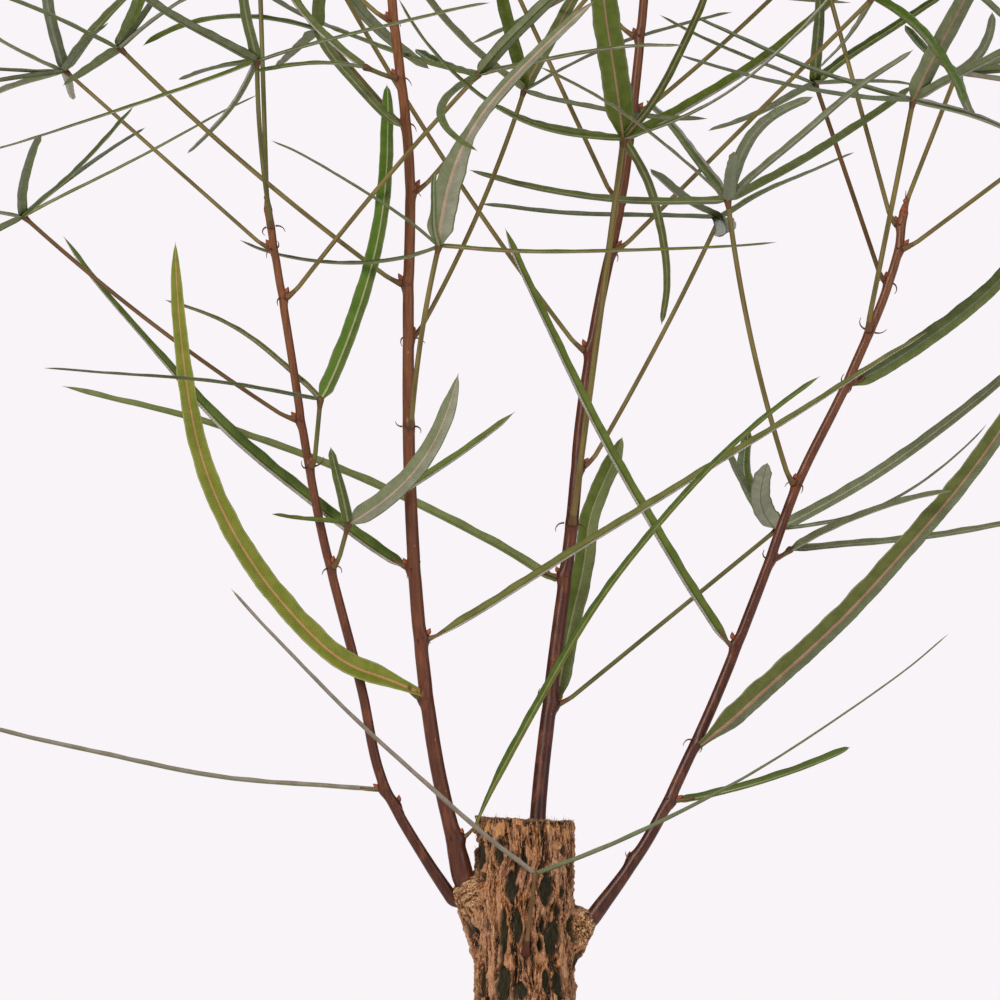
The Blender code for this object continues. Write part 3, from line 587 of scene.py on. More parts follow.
# Finishes. A near is any tree, node or socket of the tree that a node is added to.


def newFinish(name, colour, roughness, specular=0.5):
    finish = bpy.data.materials.new(name)
    finish.use_nodes = True
    shader = finish.node_tree.nodes["Principled BSDF"]
    shader.inputs["Base Color"].default_value = (*colour, 1)
    shader.inputs["Roughness"].default_value = roughness
    shader.inputs["Specular IOR Level"].default_value = specular
    return finish, shader


def join(value, socket):
    # Links another node's output to the socket, or sets the socket's own value
    if isinstance(value, bpy.types.NodeSocket):
        socket.id_data.links.new(value, socket)
    else:
        socket.default_value = value


def addNode(near, kind, inputs, **settings):
    node = near.id_data.nodes.new("ShaderNode" + kind)
    for key, value in settings.items():
        setattr(node, key, value)
    for key, value in inputs.items():
        join(value, node.inputs[key])
    return node


def placeOn(near):
    return addNode(near, "TexCoord", {}).outputs["Object"]


def drawnOut(place, scale):
    return addNode(place, "Mapping", {"Vector": place, "Scale": scale}).outputs["Vector"]


def speckle(near, scale, detail=3, stretch=None, rough=0.6, twisted=0, place=None):
    # Noise on the piece's own coordinates, squeezed or drawn out along each axis by stretch
    place = place or placeOn(near)
    place = drawnOut(place, stretch) if stretch else place
    inputs = {"Vector": place, "Scale": scale, "Detail": detail, "Roughness": rough, "Distortion": twisted}
    return addNode(near, "TexNoise", inputs).outputs["Fac"]


def blend(share, first, second):
    # Mixes two colours, or the outputs of two nodes, by a share from 0 to 1
    node = addNode(share, "Mix", {0: share}, data_type="RGBA")
    for place, value in ((6, first), (7, second)):
        join((*value, 1) if isinstance(value, tuple) else value, node.inputs[place])
    return node.outputs[2]


def spread(value, low, high, toLow=0, toHigh=1):
    inputs = {"Value": value, "From Min": low, "From Max": high, "To Min": toLow, "To Max": toHigh}
    return addNode(value, "MapRange", inputs).outputs["Result"]


def layered(colour, *layers):
    # Lays colours over one another: where a layer's mask rises from low to high, its colour covers
    # what lies below it, at most by its share
    for mask, low, high, share, cover in layers:
        colour = blend(spread(mask, low, high, 0, share), colour, cover)
    return colour


def maths(operation, first, second=0):
    return addNode(first, "Math", {0: first, 1: second}, operation=operation).outputs["Value"]


def plus(first, second):
    return maths("ADD", first, second)


def times(first, second):
    return maths("MULTIPLY", first, second)


def lengthOf(vector):
    return addNode(vector, "VectorMath", {0: vector}, operation="LENGTH").outputs["Value"]


def markOf(near, name):
    return addNode(near, "Attribute", {}, attribute_name=name).outputs["Fac"]


def placeOnSkin(near):
    return addNode(near, "UVMap", {}, uv_map="skinPlace").outputs["UV"]


def dress(shader, colour, height, distance, strength):
    # Gives a finish its colour and its bumps
    bump = addNode(shader, "Bump", {"Height": height, "Distance": distance * mm, "Strength": strength})
    join(colour, shader.inputs["Base Color"])
    join(bump.outputs["Normal"], shader.inputs["Normal"])


# Stump

stumpLook = {
    "sides": 330,
    "rowsBelow": 84,
    "rowsAbove": 192,
    "halfway": 92,
    "topRings": 14,
    "gather": 1.25,  # power that crowds the rows towards the foot
    "underBurls": 0.45,
    "burlBlend": 3.4,
    "skirt": {"left": 16.5, "right": 12, "back": 15},
    "skirtFade": (0.8, 4.4),
    "skirtBark": (0.1, 0.6, 0.85),  # where a skirt's callus turns to bark, and how fully
    "callusRise": (0.7, 2.4),
    "collar": (9, 1.7, 1.1),  # reach, radius as a share of the shoot's, and breadth
    "grains": ((2.4, 0.6), (1.15, 0.8), (0.62, 1.1)),
    "wander": ((9, 13, 2.4, 41), (3.5, 5, 1, 45)),
    "ridges": ((2.3, 15, 0.6), (1.25, 9, 0.85), (0.8, 6, 0.8), (0.55, 5, 0.6)),
    "crestPower": 1.4,
    "strips": (0.75, 9, 0.3),
    "stripEdge": (0.6, 0.72),
    "crack": (3.4, 1.7, 0.4),
    "crackHalf": 0.2,
    "cracked": (0.2, -0.4),  # ridges higher than this have no cracks, and lower ones have them whole
    "rough": ((0.62, 0.9, 0.4, 49), (1.3, 1.3, 0.3, 50)),
    "push": 0.8,
    "lensEdge": (0.86, 1.1),
    "lensRagged": ((0.9, 2.4, 0.5, 31), (2, 2, 0.4, 32)),
    "lensDepth": 1,
    "rimPlace": (1.3, 0.2),
    "lensRim": 0.2,
    "chipEdge": (0.85, 1.05),
    "chipRagged": (0.8, 1.8, 0.9, 51),
    "breaks": (1.4, 9, 1.6, 52),
    "breakReach": (2.6, 0.1),
    "tones": ((4.5, 9, 0.6, 61), (1.6, 8, 0.4, 62)),
    "scarEdge": (0.7, 1.2),
    "chipDepth": 0.45,
    "breakDepth": 1.3,
    "rimRagged": ((1.1, 1, 0.75, 63), (0.45, 0.5, 0.5, 64)),
    "sawMarks": 0.08,
    "sawLines": (5.2, 0.6),
    "sawWaver": (3, 0.4),
    "sawnHollow": 0.35,
    "collarLip": 0.7,
}
barkAround = 89.2  # all the way round the bark
frontTurn = 1.5 * math.pi  # azimuth of the front

# Smooth dark patches between the ridges, as x, height, half width and half height on the front
frontLenses = (
    (-7.3, 140.3, 1.5, 4), (-4.1, 131.3, 1.9, 4.8), (-2.1, 120.2, 1.5, 5.3), (6.4, 130.8, 2.2, 5.5),
    (0.1, 138.2, 0.9, 1.6), (8.4, 117.5, 2.2, 5.8), (9.6, 124.3, 0.9, 2.6), (10.7, 129.8, 0.8, 2.5),
    (11, 141.5, 1.1, 2), (-6.2, 117.3, 1.3, 9), (5.1, 120.8, 0.9, 3), (4.4, 115.2, 0.9, 2.1),
    (12.8, 121, 1, 4.5), (-12.8, 139.4, 2, 5), (-11.6, 133.7, 0.8, 2.4), (-6.6, 104.1, 2.1, 6.5),
    (-1, 102.5, 1.9, 2.6), (6.2, 105, 1.5, 3.8), (10.2, 103.8, 1.5, 5.5), (-12.4, 104.7, 1.2, 5.5),
)
lensRule = {
    "foot": 5,
    "head": 144,
    "rowStep": 10.5,
    "columnStep": 6.2,
    "jitter": 2.1,
    "missing": 0.22,
    "halfWidth": (1.1, 2.4),
    "halfHeight": (3.2, 7),
    "radius": 14.5,
    "reliefOut": 0.4,
    "mostBroadened": 1.6,  # a patch seen from the side is broader than it looks, up to this
    "reach": 2.4,
    "pushEdge": 1.5,
    "pushReach": 2.2,
    "frontHalfTurn": 68,
    "frontFoot": 97,
    "seed": 4,
}
# Chips of bare wood under the saw cut, as azimuth in degrees, height, half width and half height
rimChips = (
    (216, 147.4, 1.2, 2), (228, 146, 0.5, 2.2), (239, 147.2, 1.1, 2), (262, 149, 0.7, 0.7),
    (302, 147.2, 1.2, 1.3), (316, 147.8, 0.6, 1.2), (329, 146.6, 1.3, 1.9), (309, 143.2, 0.9, 1.3),
)
stumpScar = (0.2, 115, 0.9, 5.5)


def barkPlace(angle):
    return angle * barkAround / fullTurn


def barkCloud(place, height, cell, tall, seed):
    # Noise whose cells are cell wide round the bark and tall high
    around = max(4, round(barkAround / cell))
    return cloud(place / barkAround * around, height / tall, seed, around)


def barkGrain(place, height, layers):
    # Layers of that noise about 0, each times its share
    return sum(by * (barkCloud(place, height, cell, tall, seed) - 0.5) for cell, tall, by, seed in layers)


def burlReach(angle, height, centre, half, skirt):
    # How far out a level ray from the axis leaves an ellipsoid that runs out below in a straight
    # skirt. A ray that misses it gets the place of its nearest approach, less the more it misses.
    cosine, sine = np.cos(angle), np.sin(angle)
    square = (cosine / half[0]) ** 2 + (sine / half[1]) ** 2
    cross = cosine * centre[0] / half[0] ** 2 + sine * centre[1] / half[1] ** 2
    rise = height - centre[2]
    fall = np.abs(rise) / skirt
    level = np.where(rise > 0, (rise / half[2]) ** 2, np.where(fall < 1, fall * (2 - fall), fall))
    rest = (centre[0] / half[0]) ** 2 + (centre[1] / half[1]) ** 2 + level - 1
    inside = cross**2 - square * rest
    return (cross + np.sqrt(np.maximum(inside, 0)) - 1.5 * np.sqrt(np.maximum(-inside, 0))) / square


def lensSeeds():
    # Azimuth, height, half width and half height of every lens patch: the front ones as seen, and
    # the rest on a staggered net, each moved and sized by chance
    rule, seeds = lensRule, []
    for x, height, halfWidth, halfHeight in frontLenses:
        turned = math.asin(x / (stumpRadius(height) + rule["reliefOut"]))
        halfWidth = min(halfWidth / math.cos(turned), rule["mostBroadened"] * halfWidth)
        seeds.append((frontTurn + turned, height, halfWidth, halfHeight))
    dice = np.random.default_rng(rule["seed"])
    columns = round(barkAround / rule["columnStep"])
    for row in range(int(rule["head"] / rule["rowStep"]) + 1):
        for column in range(columns):
            shift = dice.uniform(-1, 1, 2) * rule["jitter"]
            size = dice.uniform(*rule["halfWidth"]), dice.uniform(*rule["halfHeight"])
            isMissing = dice.random() < rule["missing"]
            azimuth = (column + 0.5 * (row % 2)) / columns * fullTurn + shift[0] / rule["radius"]
            height = rule["foot"] + row * rule["rowStep"] + shift[1]
            fromFront = abs((math.degrees(azimuth) - 270 + 180) % 360 - 180)
            isSeen = fromFront < rule["frontHalfTurn"] and height > rule["frontFoot"]
            if not (isMissing or isSeen):
                seeds.append((azimuth, height, *size))
    return seeds


def acrossBark(angle, azimuth):
    # Millimetres round the bark from an azimuth, the short way
    return barkPlace((angle - azimuth + math.pi) % fullTurn - math.pi)


def lensField(angle, height):
    # For every point, how near it lies to the nearest lens, below 1 inside it, and how far the
    # lenses push the fibres beside them aside: half width * bell of height * tanh across, fading out
    rule, nearest = lensRule, np.full((height.size, angle.size), 9.0)
    push = np.zeros(nearest.shape)
    for azimuth, at, halfWidth, halfHeight in lensSeeds():
        rows = np.flatnonzero(np.abs(height[:, 0] - at) < rule["reach"] * halfHeight)
        across = acrossBark(angle, azimuth)
        rise = (height[rows] - at) / halfHeight
        nearest[rows] = np.minimum(nearest[rows], np.abs(across) / halfWidth + rise**2)
        fading = np.exp(-np.abs(across) / (rule["pushReach"] * halfWidth))
        push[rows] += halfWidth * bell(rise) * (np.tanh(rule["pushEdge"] * across / halfWidth) * fading)
    return nearest, push


def barkRelief(angle, height, push):
    # Sharp fibrous ridges of several sizes that wander and part round the lenses, pale strips
    # along them, and short cracks across
    look, place = stumpLook, barkPlace(angle)
    flow = place + barkGrain(place, height, look["wander"]) - look["push"] * push
    relief = np.zeros(push.shape)
    for number, (cell, tall, by) in enumerate(look["ridges"]):
        crest = 1 - np.abs(2 * barkCloud(flow, height, cell, tall, 42 + 5 * number) - 1)
        relief += by * (crest ** look["crestPower"] - 0.5)
    cell, tall, by = look["strips"]
    strip = easeBetween(*look["stripEdge"], barkCloud(flow, height, cell, tall, 46))
    cell, tall, crackBy = look["crack"]
    fromCrack = np.abs(barkCloud(place, height, cell, tall, 48) - 0.5)
    crack = 1 - easeBetween(0, look["crackHalf"], fromCrack)
    relief += by * strip - crackBy * crack * easeBetween(*look["cracked"], relief)
    return relief + barkGrain(place, height, look["rough"]), strip, flow


def stumpSkin():
    # Radius at an azimuth and a height: the lobed bottle shape, smoothly joined to the burls, then
    # ridges of fibrous bark pushed out, and lens patches, chips and the top's breaks sunk in
    look, top = stumpLook, stump["height"]
    angle = fullTurn * np.arange(look["sides"])[None, :] / look["sides"]
    low = look["halfway"] * np.linspace(0, 1, look["rowsBelow"], endpoint=False) ** look["gather"]
    height = np.concatenate([low, np.linspace(look["halfway"], top, look["rowsAbove"])])[:, None]
    place = barkPlace(angle)
    fading = stump["lobeShare"] * np.exp(-height / stump["lobeHeight"])
    lobes = fading * np.cos(stump["flareLobes"] * angle)
    bare = stumpRadius(height) * (1 + lobes)
    radius = bare - look["underBurls"]
    skirted, (below, farBelow) = np.zeros(radius.shape), look["skirtFade"]
    for name, (centre, half) in burls.items():
        reach = burlReach(angle, height, centre, half, look["skirt"][name])
        share = np.clip(0.5 + 0.5 * (reach - radius) / look["burlBlend"], 0, 1)
        radius = radius + (reach - radius) * share + look["burlBlend"] * share * (1 - share)
        fade = easeBetween(centre[2] - below, centre[2] - farBelow, height)
        skirted = np.maximum(skirted, fade * share)
    low, high, barked = look["skirtBark"]
    callus = easeBetween(*look["callusRise"], radius - bare) * (1 - barked * easeBetween(low, high, skirted))
    rounded = [radius * np.cos(angle), radius * np.sin(angle), np.broadcast_to(height, radius.shape)]
    spot = np.stack(rounded, -1)
    lumps, lip, chip = np.zeros((3, *radius.shape))
    u, v = spot @ np.array([0.8, 1, 0.1]), spot @ np.array([-0.3, 0.6, 1])
    for number, (cell, by) in enumerate(look["grains"]):
        lumps += by * (0.5 - np.abs(2 * cloud(u / cell, v / cell, 21 + number) - 1))
    reach, wide, broad = look["collar"]
    for name, shoot in shoots.items():
        centre, direction, footRadius = shootPlaces(name, shoot["rise"][0])
        offset = spot - centre[0]
        away = np.linalg.norm(offset - (offset @ direction[0])[..., None] * direction[0], axis=-1)
        near = np.exp(-(np.linalg.norm(offset, axis=-1) / reach) ** 4)
        lip = np.maximum(lip, near * bell((away - wide * footRadius[0]) / broad))
    callus = np.maximum(callus, lip)

    deepest, push = lensField(angle, height)
    relief, strip, flow = barkRelief(angle, height, push)
    first, second = look["lensRagged"]
    deepest = deepest + (barkGrain(flow, height, [first]) + barkGrain(place, height, [second]))
    lens = (1 - easeBetween(*look["lensEdge"], deepest)) * (1 - callus)
    middle, broad = look["rimPlace"]
    rim = bell((deepest - middle) / broad) * (1 - callus)
    outside = (1 - lens) * (1 - 0.8 * callus)

    for azimuth, at, halfWidth, halfHeight in rimChips:
        across = acrossBark(angle, math.radians(azimuth)) / halfWidth
        shape = np.maximum(np.abs(across), np.abs((height - at) / halfHeight))
        shape = shape + barkGrain(place, height, [look["chipRagged"]])
        chip = np.maximum(chip, 1 - easeBetween(*look["chipEdge"], shape))
    edge = np.maximum(barkGrain(place, height, [look["breaks"]]), 0)
    low, high = look["breakReach"]
    topBreak = easeBetween(top - low, top - high, height) * edge
    x, at, halfWidth, halfHeight = stumpScar
    across = np.abs(acrossBark(angle, frontTurn + x / 14)) / halfWidth
    scar = 1 - easeBetween(*look["scarEdge"], across + ((height - at) / halfHeight) ** 2)

    radius = radius + outside * relief + callus * lumps + look["collarLip"] * lip
    radius = radius - look["lensDepth"] * lens + look["lensRim"] * rim
    radius = radius - look["chipDepth"] * chip - look["breakDepth"] * topBreak
    first, second = look["tones"]
    tone = 0.5 + barkGrain(place, height, [first]) + barkGrain(flow, height, [second])
    # Pale straw on the raised strips and on the rims round the lenses: partly the fibres' own colour and
    # partly a painted highlight on what stands out
    strawAndHighlight = np.clip(strip + 0.9 * rim, 0, 1) * outside
    raised, lumpy = np.clip(0.5 + 0.5 * relief, 0, 1), np.clip(0.5 + 0.6 * lumps, 0, 1)
    return angle, height, radius, {"lens": lens, "ridge": raised, "callus": callus, "chip": chip,
                                   "scar": scar * (1 - lens), "tone": tone, "strawAndHighlight": strawAndHighlight, "lumps": lumpy}


def makeStump(finishes):
    # The skin leans its top to one side, by a slope that grows with a power of the height
    look, top, lean = stumpLook, stump["height"], stump["topSlope"]
    angle, height, radius, marks = stumpSkin()
    x, y = radius * np.cos(angle), radius * np.sin(angle)
    ragged = np.zeros(angle.shape)
    for cell, by, middle, seed in look["rimRagged"]:
        ragged = ragged + by * (barkCloud(barkPlace(angle), 3 + 0 * height, cell, 1, seed) - middle)
    z = height - lean * (height / top) ** stump["slopePower"] * x + ragged * easeBetween(top - 3, top, height)

    # The saw cut: rings drawn in from the rim to the middle, crossed by the marks of the saw
    inward = 1 - np.linspace(0, 1, look["topRings"] + 1)[1:-1, None] ** 0.8
    topX, topY = x[-1] * inward, y[-1] * inward
    level = top - lean * topX
    across, aslant = look["sawLines"]
    waver, fine = look["sawWaver"]
    wavering = waver * cloud(topX * fine + 40, topY * fine + 40, 71)
    saw = np.sin(topX * across + aslant * topY + wavering)
    topZ = level + look["sawMarks"] * saw - look["sawnHollow"] * easeBetween(0.9, 0.5, inward)
    topZ = topZ + easeBetween(0.8, 1, inward) * (z[-1] - level[0]) * 0.6
    rings = np.concatenate([np.stack([x, y, z], -1), np.stack([topX, topY, topZ], -1)])
    marks = {name: np.broadcast_to(values, x.shape) for name, values in marks.items()}
    marks = {name: np.concatenate([v, np.repeat(v[-1:], len(inward), axis=0)]) for name, v in marks.items()}
    slots = (np.arange(len(rings) - 1) >= len(height) - 1).astype(int)[:, None]
    heap = newHeap()
    around = np.linspace(0, 1, look["sides"] + 1)
    along = np.concatenate([height[:, 0] / top, np.linspace(1, 1.1, len(inward))])
    addRings(heap, rings, [(0, 0, 0), (0, 0, topZ[-1].mean())], around, along, slots, marks)
    makePiece("stump", heap, finishes, ["trunk"])


def barkFinish():
    finish, shader = newFinish("fissuredBark", (0.21, 0.11, 0.05), 0.85, 0.15)
    names = ("ridge", "lens", "callus", "tone", "strawAndHighlight", "lumps", "chip", "scar")
    ridge, lens, callus, tone, strawAndHighlight, lumps, chip, scar = (markOf(shader, name) for name in names)
    fibres = speckle(shader, 2000, 4, (1, 1, 0.16), 0.7, 1.2)
    grain = speckle(shader, 2700, 4, (1, 1, 0.6), 0.75, 0.6)
    threads = speckle(shader, 3600, 2, (1, 1, 0.09), 0.6, 0.8)
    # The pale straw mask lifts the colouring height, partly as a painted highlight on the raised strips
    coarse = plus(spread(ridge, 0.12, 0.88, -0.15, 1.1), times(strawAndHighlight, 0.3))
    fibrous = plus(coarse, spread(fibres, 0.34, 0.66, -0.4, 0.4))
    height = plus(fibrous, spread(threads, 0.36, 0.64, -0.4, 0.4))
    brown = layered((0.41, 0.15, 0.07), (tone, 0.4, 0.6, 1, (0.56, 0.19, 0.05)))
    # The colour follows the height of the relief: nearly black in the deepest fissures, dark brown low down,
    # darkest ones where it is lowest, so they too are partly painted highlight and painted shade.
    # painted highlight on the crests. The palest threads and flecks sit where the bump stands highest and the
    # the bark's own brown in the middle and pale on the crests. That is painted shade in the fissures and a
    ridgesLitAndShaded = layered(
        (0.014, 0.008, 0.004),
        (height, 0.15, 0.5, 1, (0.105, 0.046, 0.02)),
        (height, 0.5, 0.8, 1, brown),
        (height, 0.85, 1.15, 0.85, (0.79, 0.42, 0.23)),
        (grain, 0.57, 0.69, 0.75, (0.93, 0.58, 0.37)),
        (threads, 0.6, 0.68, 0.65, (1, 0.7, 0.48)),
        (speckle(shader, 260), 0.54, 0.7, 0.4, (0.085, 0.06, 0.036)),
        (speckle(shader, 420), 0.64, 0.73, 0.4, (0.075, 0.088, 0.026)),
        (grain, 0.46, 0.34, 0.85, (0.022, 0.011, 0.005)),
    )
    smooth = layered((0.024, 0.02, 0.011), (fibres, 0.4, 0.66, 1, (0.084, 0.07, 0.038)),
                     (grain, 0.56, 0.7, 0.7, (0.11, 0.058, 0.024)))
    # The callus takes its colour from the height of its lumps: dark in the hollows between them and palest on
    # their tops. This is painted shade and painted highlight over the callus's own orange tan.
    lumpy = plus(lumps, spread(grain, 0.34, 0.66, -0.6, 0.6))
    callusLitAndShaded = layered((0.07, 0.026, 0.01), (lumpy, 0.35, 0.7, 1, (0.5, 0.215, 0.085)),
                     (lumpy, 0.72, 1.1, 1, (1, 0.64, 0.37)))
    wood = layered((0.74, 0.28, 0.07), (fibres, 0.35, 0.65, 1, (1, 0.63, 0.32)))
    bark = layered(blend(lens, ridgesLitAndShaded, smooth), (callus, 0.2, 0.6, 1, callusLitAndShaded))
    scarred = blend(times(scar, 0.8), blend(chip, bark, wood), (0.085, 0.022, 0.012))
    join(spread(lens, 0, 1, 0.9, 0.5), shader.inputs["Roughness"])
    dress(shader, scarred, plus(times(threads, 0.8), times(grain, 0.5)), 0.8, 1.2)
    return finish


def sawnFinish():
    # Growth rings: a sine of the distance from the middle, which wobbles a little
    finish, shader = newFinish("sawnEndGrain", (0.3, 0.17, 0.09), 0.8, 0.2)
    away = lengthOf(drawnOut(placeOn(shader), (1, 1, 0)))
    wobble = times(speckle(shader, 160), 0.0022)
    rings = maths("SINE", times(plus(away, wobble), 5200))
    fibres = speckle(shader, 1500)
    sawn = layered((0.34, 0.18, 0.085), (rings, -1, 1, 1, (0.52, 0.31, 0.15)),
                   (fibres, 0.4, 0.7, 0.6, (0.19, 0.1, 0.055)), (away, 0.0117, 0.0126, 1, (0.11, 0.06, 0.03)))
    dress(shader, sawn, plus(times(rings, 0.2), fibres), 0.2, 0.8)
    return finish


# Fibres torn up by the saw round the rim, and loose threads of bark on the burls

fibreLook = {
    "rim": 120,
    "rimLength": (0.7, 2.4),
    "rimInward": (0.1, 1.3),
    "rimSunk": 0.6,
    "rimRise": (0.2, 1),
    "rimLean": (-0.2, 0.6),
    "longShare": 0.25,
    "short": 0.6,
    "bark": 150,
    "barkLength": (0.7, 1.96),
    "barkReach": 62,
    "barkLean": (0.3, 0.9),
    "barkSunk": 0.2,
    "aside": (-0.9, 0.9),
    "outward": (-0.2, 0.4),
    "bend": 0.7,
    "taper": 0.8,
    "radius": (0.05, 0.13),
    "rightSide": (275, 345),
    "evenShare": 0.6,
    "seed": 31,
}


def makeTornFibres(finish):
    # Slim tapered threads: start + length * (t * up + bend * t * t * side), radius falling to the tip
    look, heap = fibreLook, newHeap()
    dice = np.random.default_rng(look["seed"])
    t = np.linspace(0, 1, 5)[:, None]
    for k in range(look["rim"] + look["bark"]):
        span = (0, fullTurn) if dice.random() < look["evenShare"] else np.radians(look["rightSide"])
        out = levelOut(dice.uniform(*span))
        if k < look["rim"]:
            start = out * (stump["topRadius"] - dice.uniform(*look["rimInward"]))
            start[2] = stump["height"] - look["rimSunk"] - stump["topSlope"] * start[0]
            rise = upward * dice.uniform(*look["rimRise"]) + out * dice.uniform(*look["rimLean"])
            length = dice.uniform(*look["rimLength"])
            length *= 1 if dice.random() < look["longShare"] else look["short"]
        else:
            height = stump["height"] - look["barkReach"] * dice.random() ** 1.4
            start = out * (stumpRadius(height) - look["barkSunk"])
            start[2] = height
            rise = out * dice.uniform(*look["barkLean"]) + upward * dice.choice([-1, 1])
            length = dice.uniform(*look["barkLength"])
        side = np.cross(out, upward) * dice.uniform(*look["aside"]) + out * dice.uniform(*look["outward"])
        path = start + length * (t * unit(rise) + look["bend"] * t**2 * side)
        radii = dice.uniform(*look["radius"]) * (1 - look["taper"] * t[:, 0])
        addTube(heap, path, radii, 4, unit(np.cross(out, [0.1, 0.2, 1])), path[[0, -1]], t[:, 0])
    makePiece("tornFibres", heap, [finish], [])


# Shoots

shootLook = {
    "sides": 30,
    "stations": 300,
    "burlOf": {"shoot_1": "left", "shoot_2": "left", "shoot_3": "back", "shoot_4": "right"},
    "intoBurl": 0.62,
    "burlBend": 2,
    "burlStations": 9,
    "flare": {"shoot_1": 0.2, "shoot_2": 0.42, "shoot_3": 0.3, "shoot_4": 0.3},
    "flareLength": 9,
    "knee": 0.06,
    "kneeLength": 1.5,
    "shoulder": 0.34,
    "kink": 0.45,
    "tipCone": 1.6,
    "lumps": ((0.03, 0.9, 16, 81, 27), (0.02, 0.5, 2.2, 82, 15)),
    # The offsets below move each shoot along its colour ramp: shoot_2 is made paler as painted light, and
    # shoot_3 and shoot_4 darker as painted shade
    "ageAndShade": {"shoot_1": 0, "shoot_2": 0.2, "shoot_3": -0.12, "shoot_4": -0.12},  # higher is paler
}
bareNodes = {"shoot_1": ((153.6, 20),), "shoot_4": ((138.5, 165),)}


def nodePlaces(name):
    # Height and outward direction of every leaf foot on a shoot, and of its bare nodes
    places = [(leaf["foot"], leaf["out"]) for leaf in leaves if leaf["shoot"] == name]
    for height, azimuth in bareNodes.get(name, ()):
        centre, _, radius = shootPlaces(name, height)
        out = levelOut(math.radians(azimuth))
        places.append((centre[0] + out * radius[0], out))
    return places


def makeShoot(name, finish):
    # Circles along the limb whose radius tapers, flares to its foot, and swells at each node, most
    # on the leaf's side: 1 + knee * bell + shoulder * bell * (facing the leaf)^2. Below its foot
    # the limb bends on a parabola into the middle of its burl.
    look, rise = shootLook, shoots[name]["rise"]
    heights = np.linspace(rise[0], rise[-1], look["stations"])
    path, directions, radii = shootPlaces(name, heights)
    radii = radii * (1 + look["flare"][name] * bell((heights - rise[0]) / look["flareLength"]))
    middle = np.array(burls[look["burlOf"][name]][0])
    end = path[0] + look["intoBurl"] * (middle - path[0])
    bend = path[0] - directions[0] * look["burlBend"]
    s = np.linspace(0, 1, look["burlStations"] + 1)[:-1, None]
    path = np.concatenate([parabola(s, end, bend, path[0]), path])
    radii = np.concatenate([np.full(len(s), radii[0]), radii])
    heights = np.concatenate([np.full(len(s), rise[0]), heights])
    bells = [(bell((path - foot)[:, 2] / look["kneeLength"]), out) for foot, out in nodePlaces(name)]
    for near, out in bells:
        path = path + look["kink"] * near[:, None] ** 0.5 * out * np.array([1, 1, 0]) * 0.5
    rings, ring = tubeRings(path, radii, look["sides"], (0, -1, 0.1))
    swollen, ringed = np.ones(rings.shape[:2]), np.zeros(rings.shape[:2])
    for near, out in bells:
        facing = np.clip(ring @ out, 0, 1) ** 2
        swollen += near[:, None] * (look["knee"] + look["shoulder"] * facing)
        ringed += near[:, None] ** 2 * (0.35 + 0.65 * facing)
    grain = 0
    for by, across, tall, seed, wrap in look["lumps"]:
        places = np.arange(look["sides"])[None, :] * across
        grain = grain + by * (cloud(places, heights[:, None] / tall, seed, wrap) - 0.5)
    rings = path[:, None] + (rings - path[:, None]) * (swollen + grain)[:, :, None]
    tip = path[-1] + directions[-1] * look["tipCone"]
    share = np.clip((heights - rise[0]) / (rise[-1] - rise[0]), 0, 1)
    # The colour ramp runs with the share up the shoot, plus the shoot's offset of painted light and shade
    marks = {"ageAndShade": share[:, None] + look["ageAndShade"][name], "node": np.clip(ringed, 0, 1)}
    heap = newHeap()
    around = np.linspace(0, 1, look["sides"] + 1)
    addRings(heap, rings, [path[0], tip], around, heights / 100, 0, marks)
    makePiece(name.replace("shoot_", "limb"), heap, [finish], [name])


def shootFinish():
    finish, shader = newFinish("youngRedBark", (0.16, 0.055, 0.035), 0.38, 0.32)
    ageAndShade, node = markOf(shader, "ageAndShade"), markOf(shader, "node")
    streaks = speckle(shader, 1500, 3, (1, 1, 0.04))
    patches = speckle(shader, 330, 3, (1, 1, 0.35))
    flecks = speckle(shader, 1300, 2, (1, 1, 0.4))
    bark = layered(
        (0.062, 0.012, 0.005),
        (ageAndShade, 0, 0.4, 1, (0.122, 0.031, 0.012)),
        (ageAndShade, 0.4, 0.95, 1, (0.245, 0.088, 0.028)),
        (streaks, 0.38, 0.7, 0.6, (0.036, 0.008, 0.004)),
        (patches, 0.5, 0.7, 0.6, (0.205, 0.058, 0.02)),
        (node, 0.25, 0.9, 0.75, (0.032, 0.01, 0.007)),
        (flecks, 0.7, 0.75, 0.6, (0.4, 0.23, 0.13)),
    )
    shader.inputs["Coat Weight"].default_value = 0.12
    shader.inputs["Coat Roughness"].default_value = 0.3
    dress(shader, bark, plus(streaks, times(flecks, 0.5)), 0.1, 0.7)
    return finish


# Leaves. A blade's key is its leaf's, with the leaflet's number where there are several.

bladeLook = {
    "step": 2,
    "fineStep": 0.9,
    "crowdedEnds": 0.35,
    "sunk": 0.45,
    "fold": (18, 34),
    "curl": 0.5,
    "thickness": 0.26,
    "thinTip": 0.5,
    "ribWidth": 0.3,
    "ribTaper": 0.6,
    "mostRib": 0.3,
    "keel": 0.24,
    "wave": (0.032, 9),
    "scallop": (0.012, 3.1),
    "twist": 24,
    "twistFrom": 0.35,
    "wander": (0.003, 0.25, 60),
    "narrowing": 0.38,
    "baseShare": 0.3,
    "opening": 0.95,
    "closing": 1.45,
    "closingPower": 0.6,
    "hairTip": (1.1, 0.1),
    "marginShare": 0.88,
    "edgeShare": 0.46,
    "onShortStalk": 4.7,
    "calm": 14,
}
fineBlades = ("yellow", "broad_right", "dark_left", "behind", "far_right", "k_0", "crossing", "long_right",
              "rising", "short_right", "h_2", "i_0")
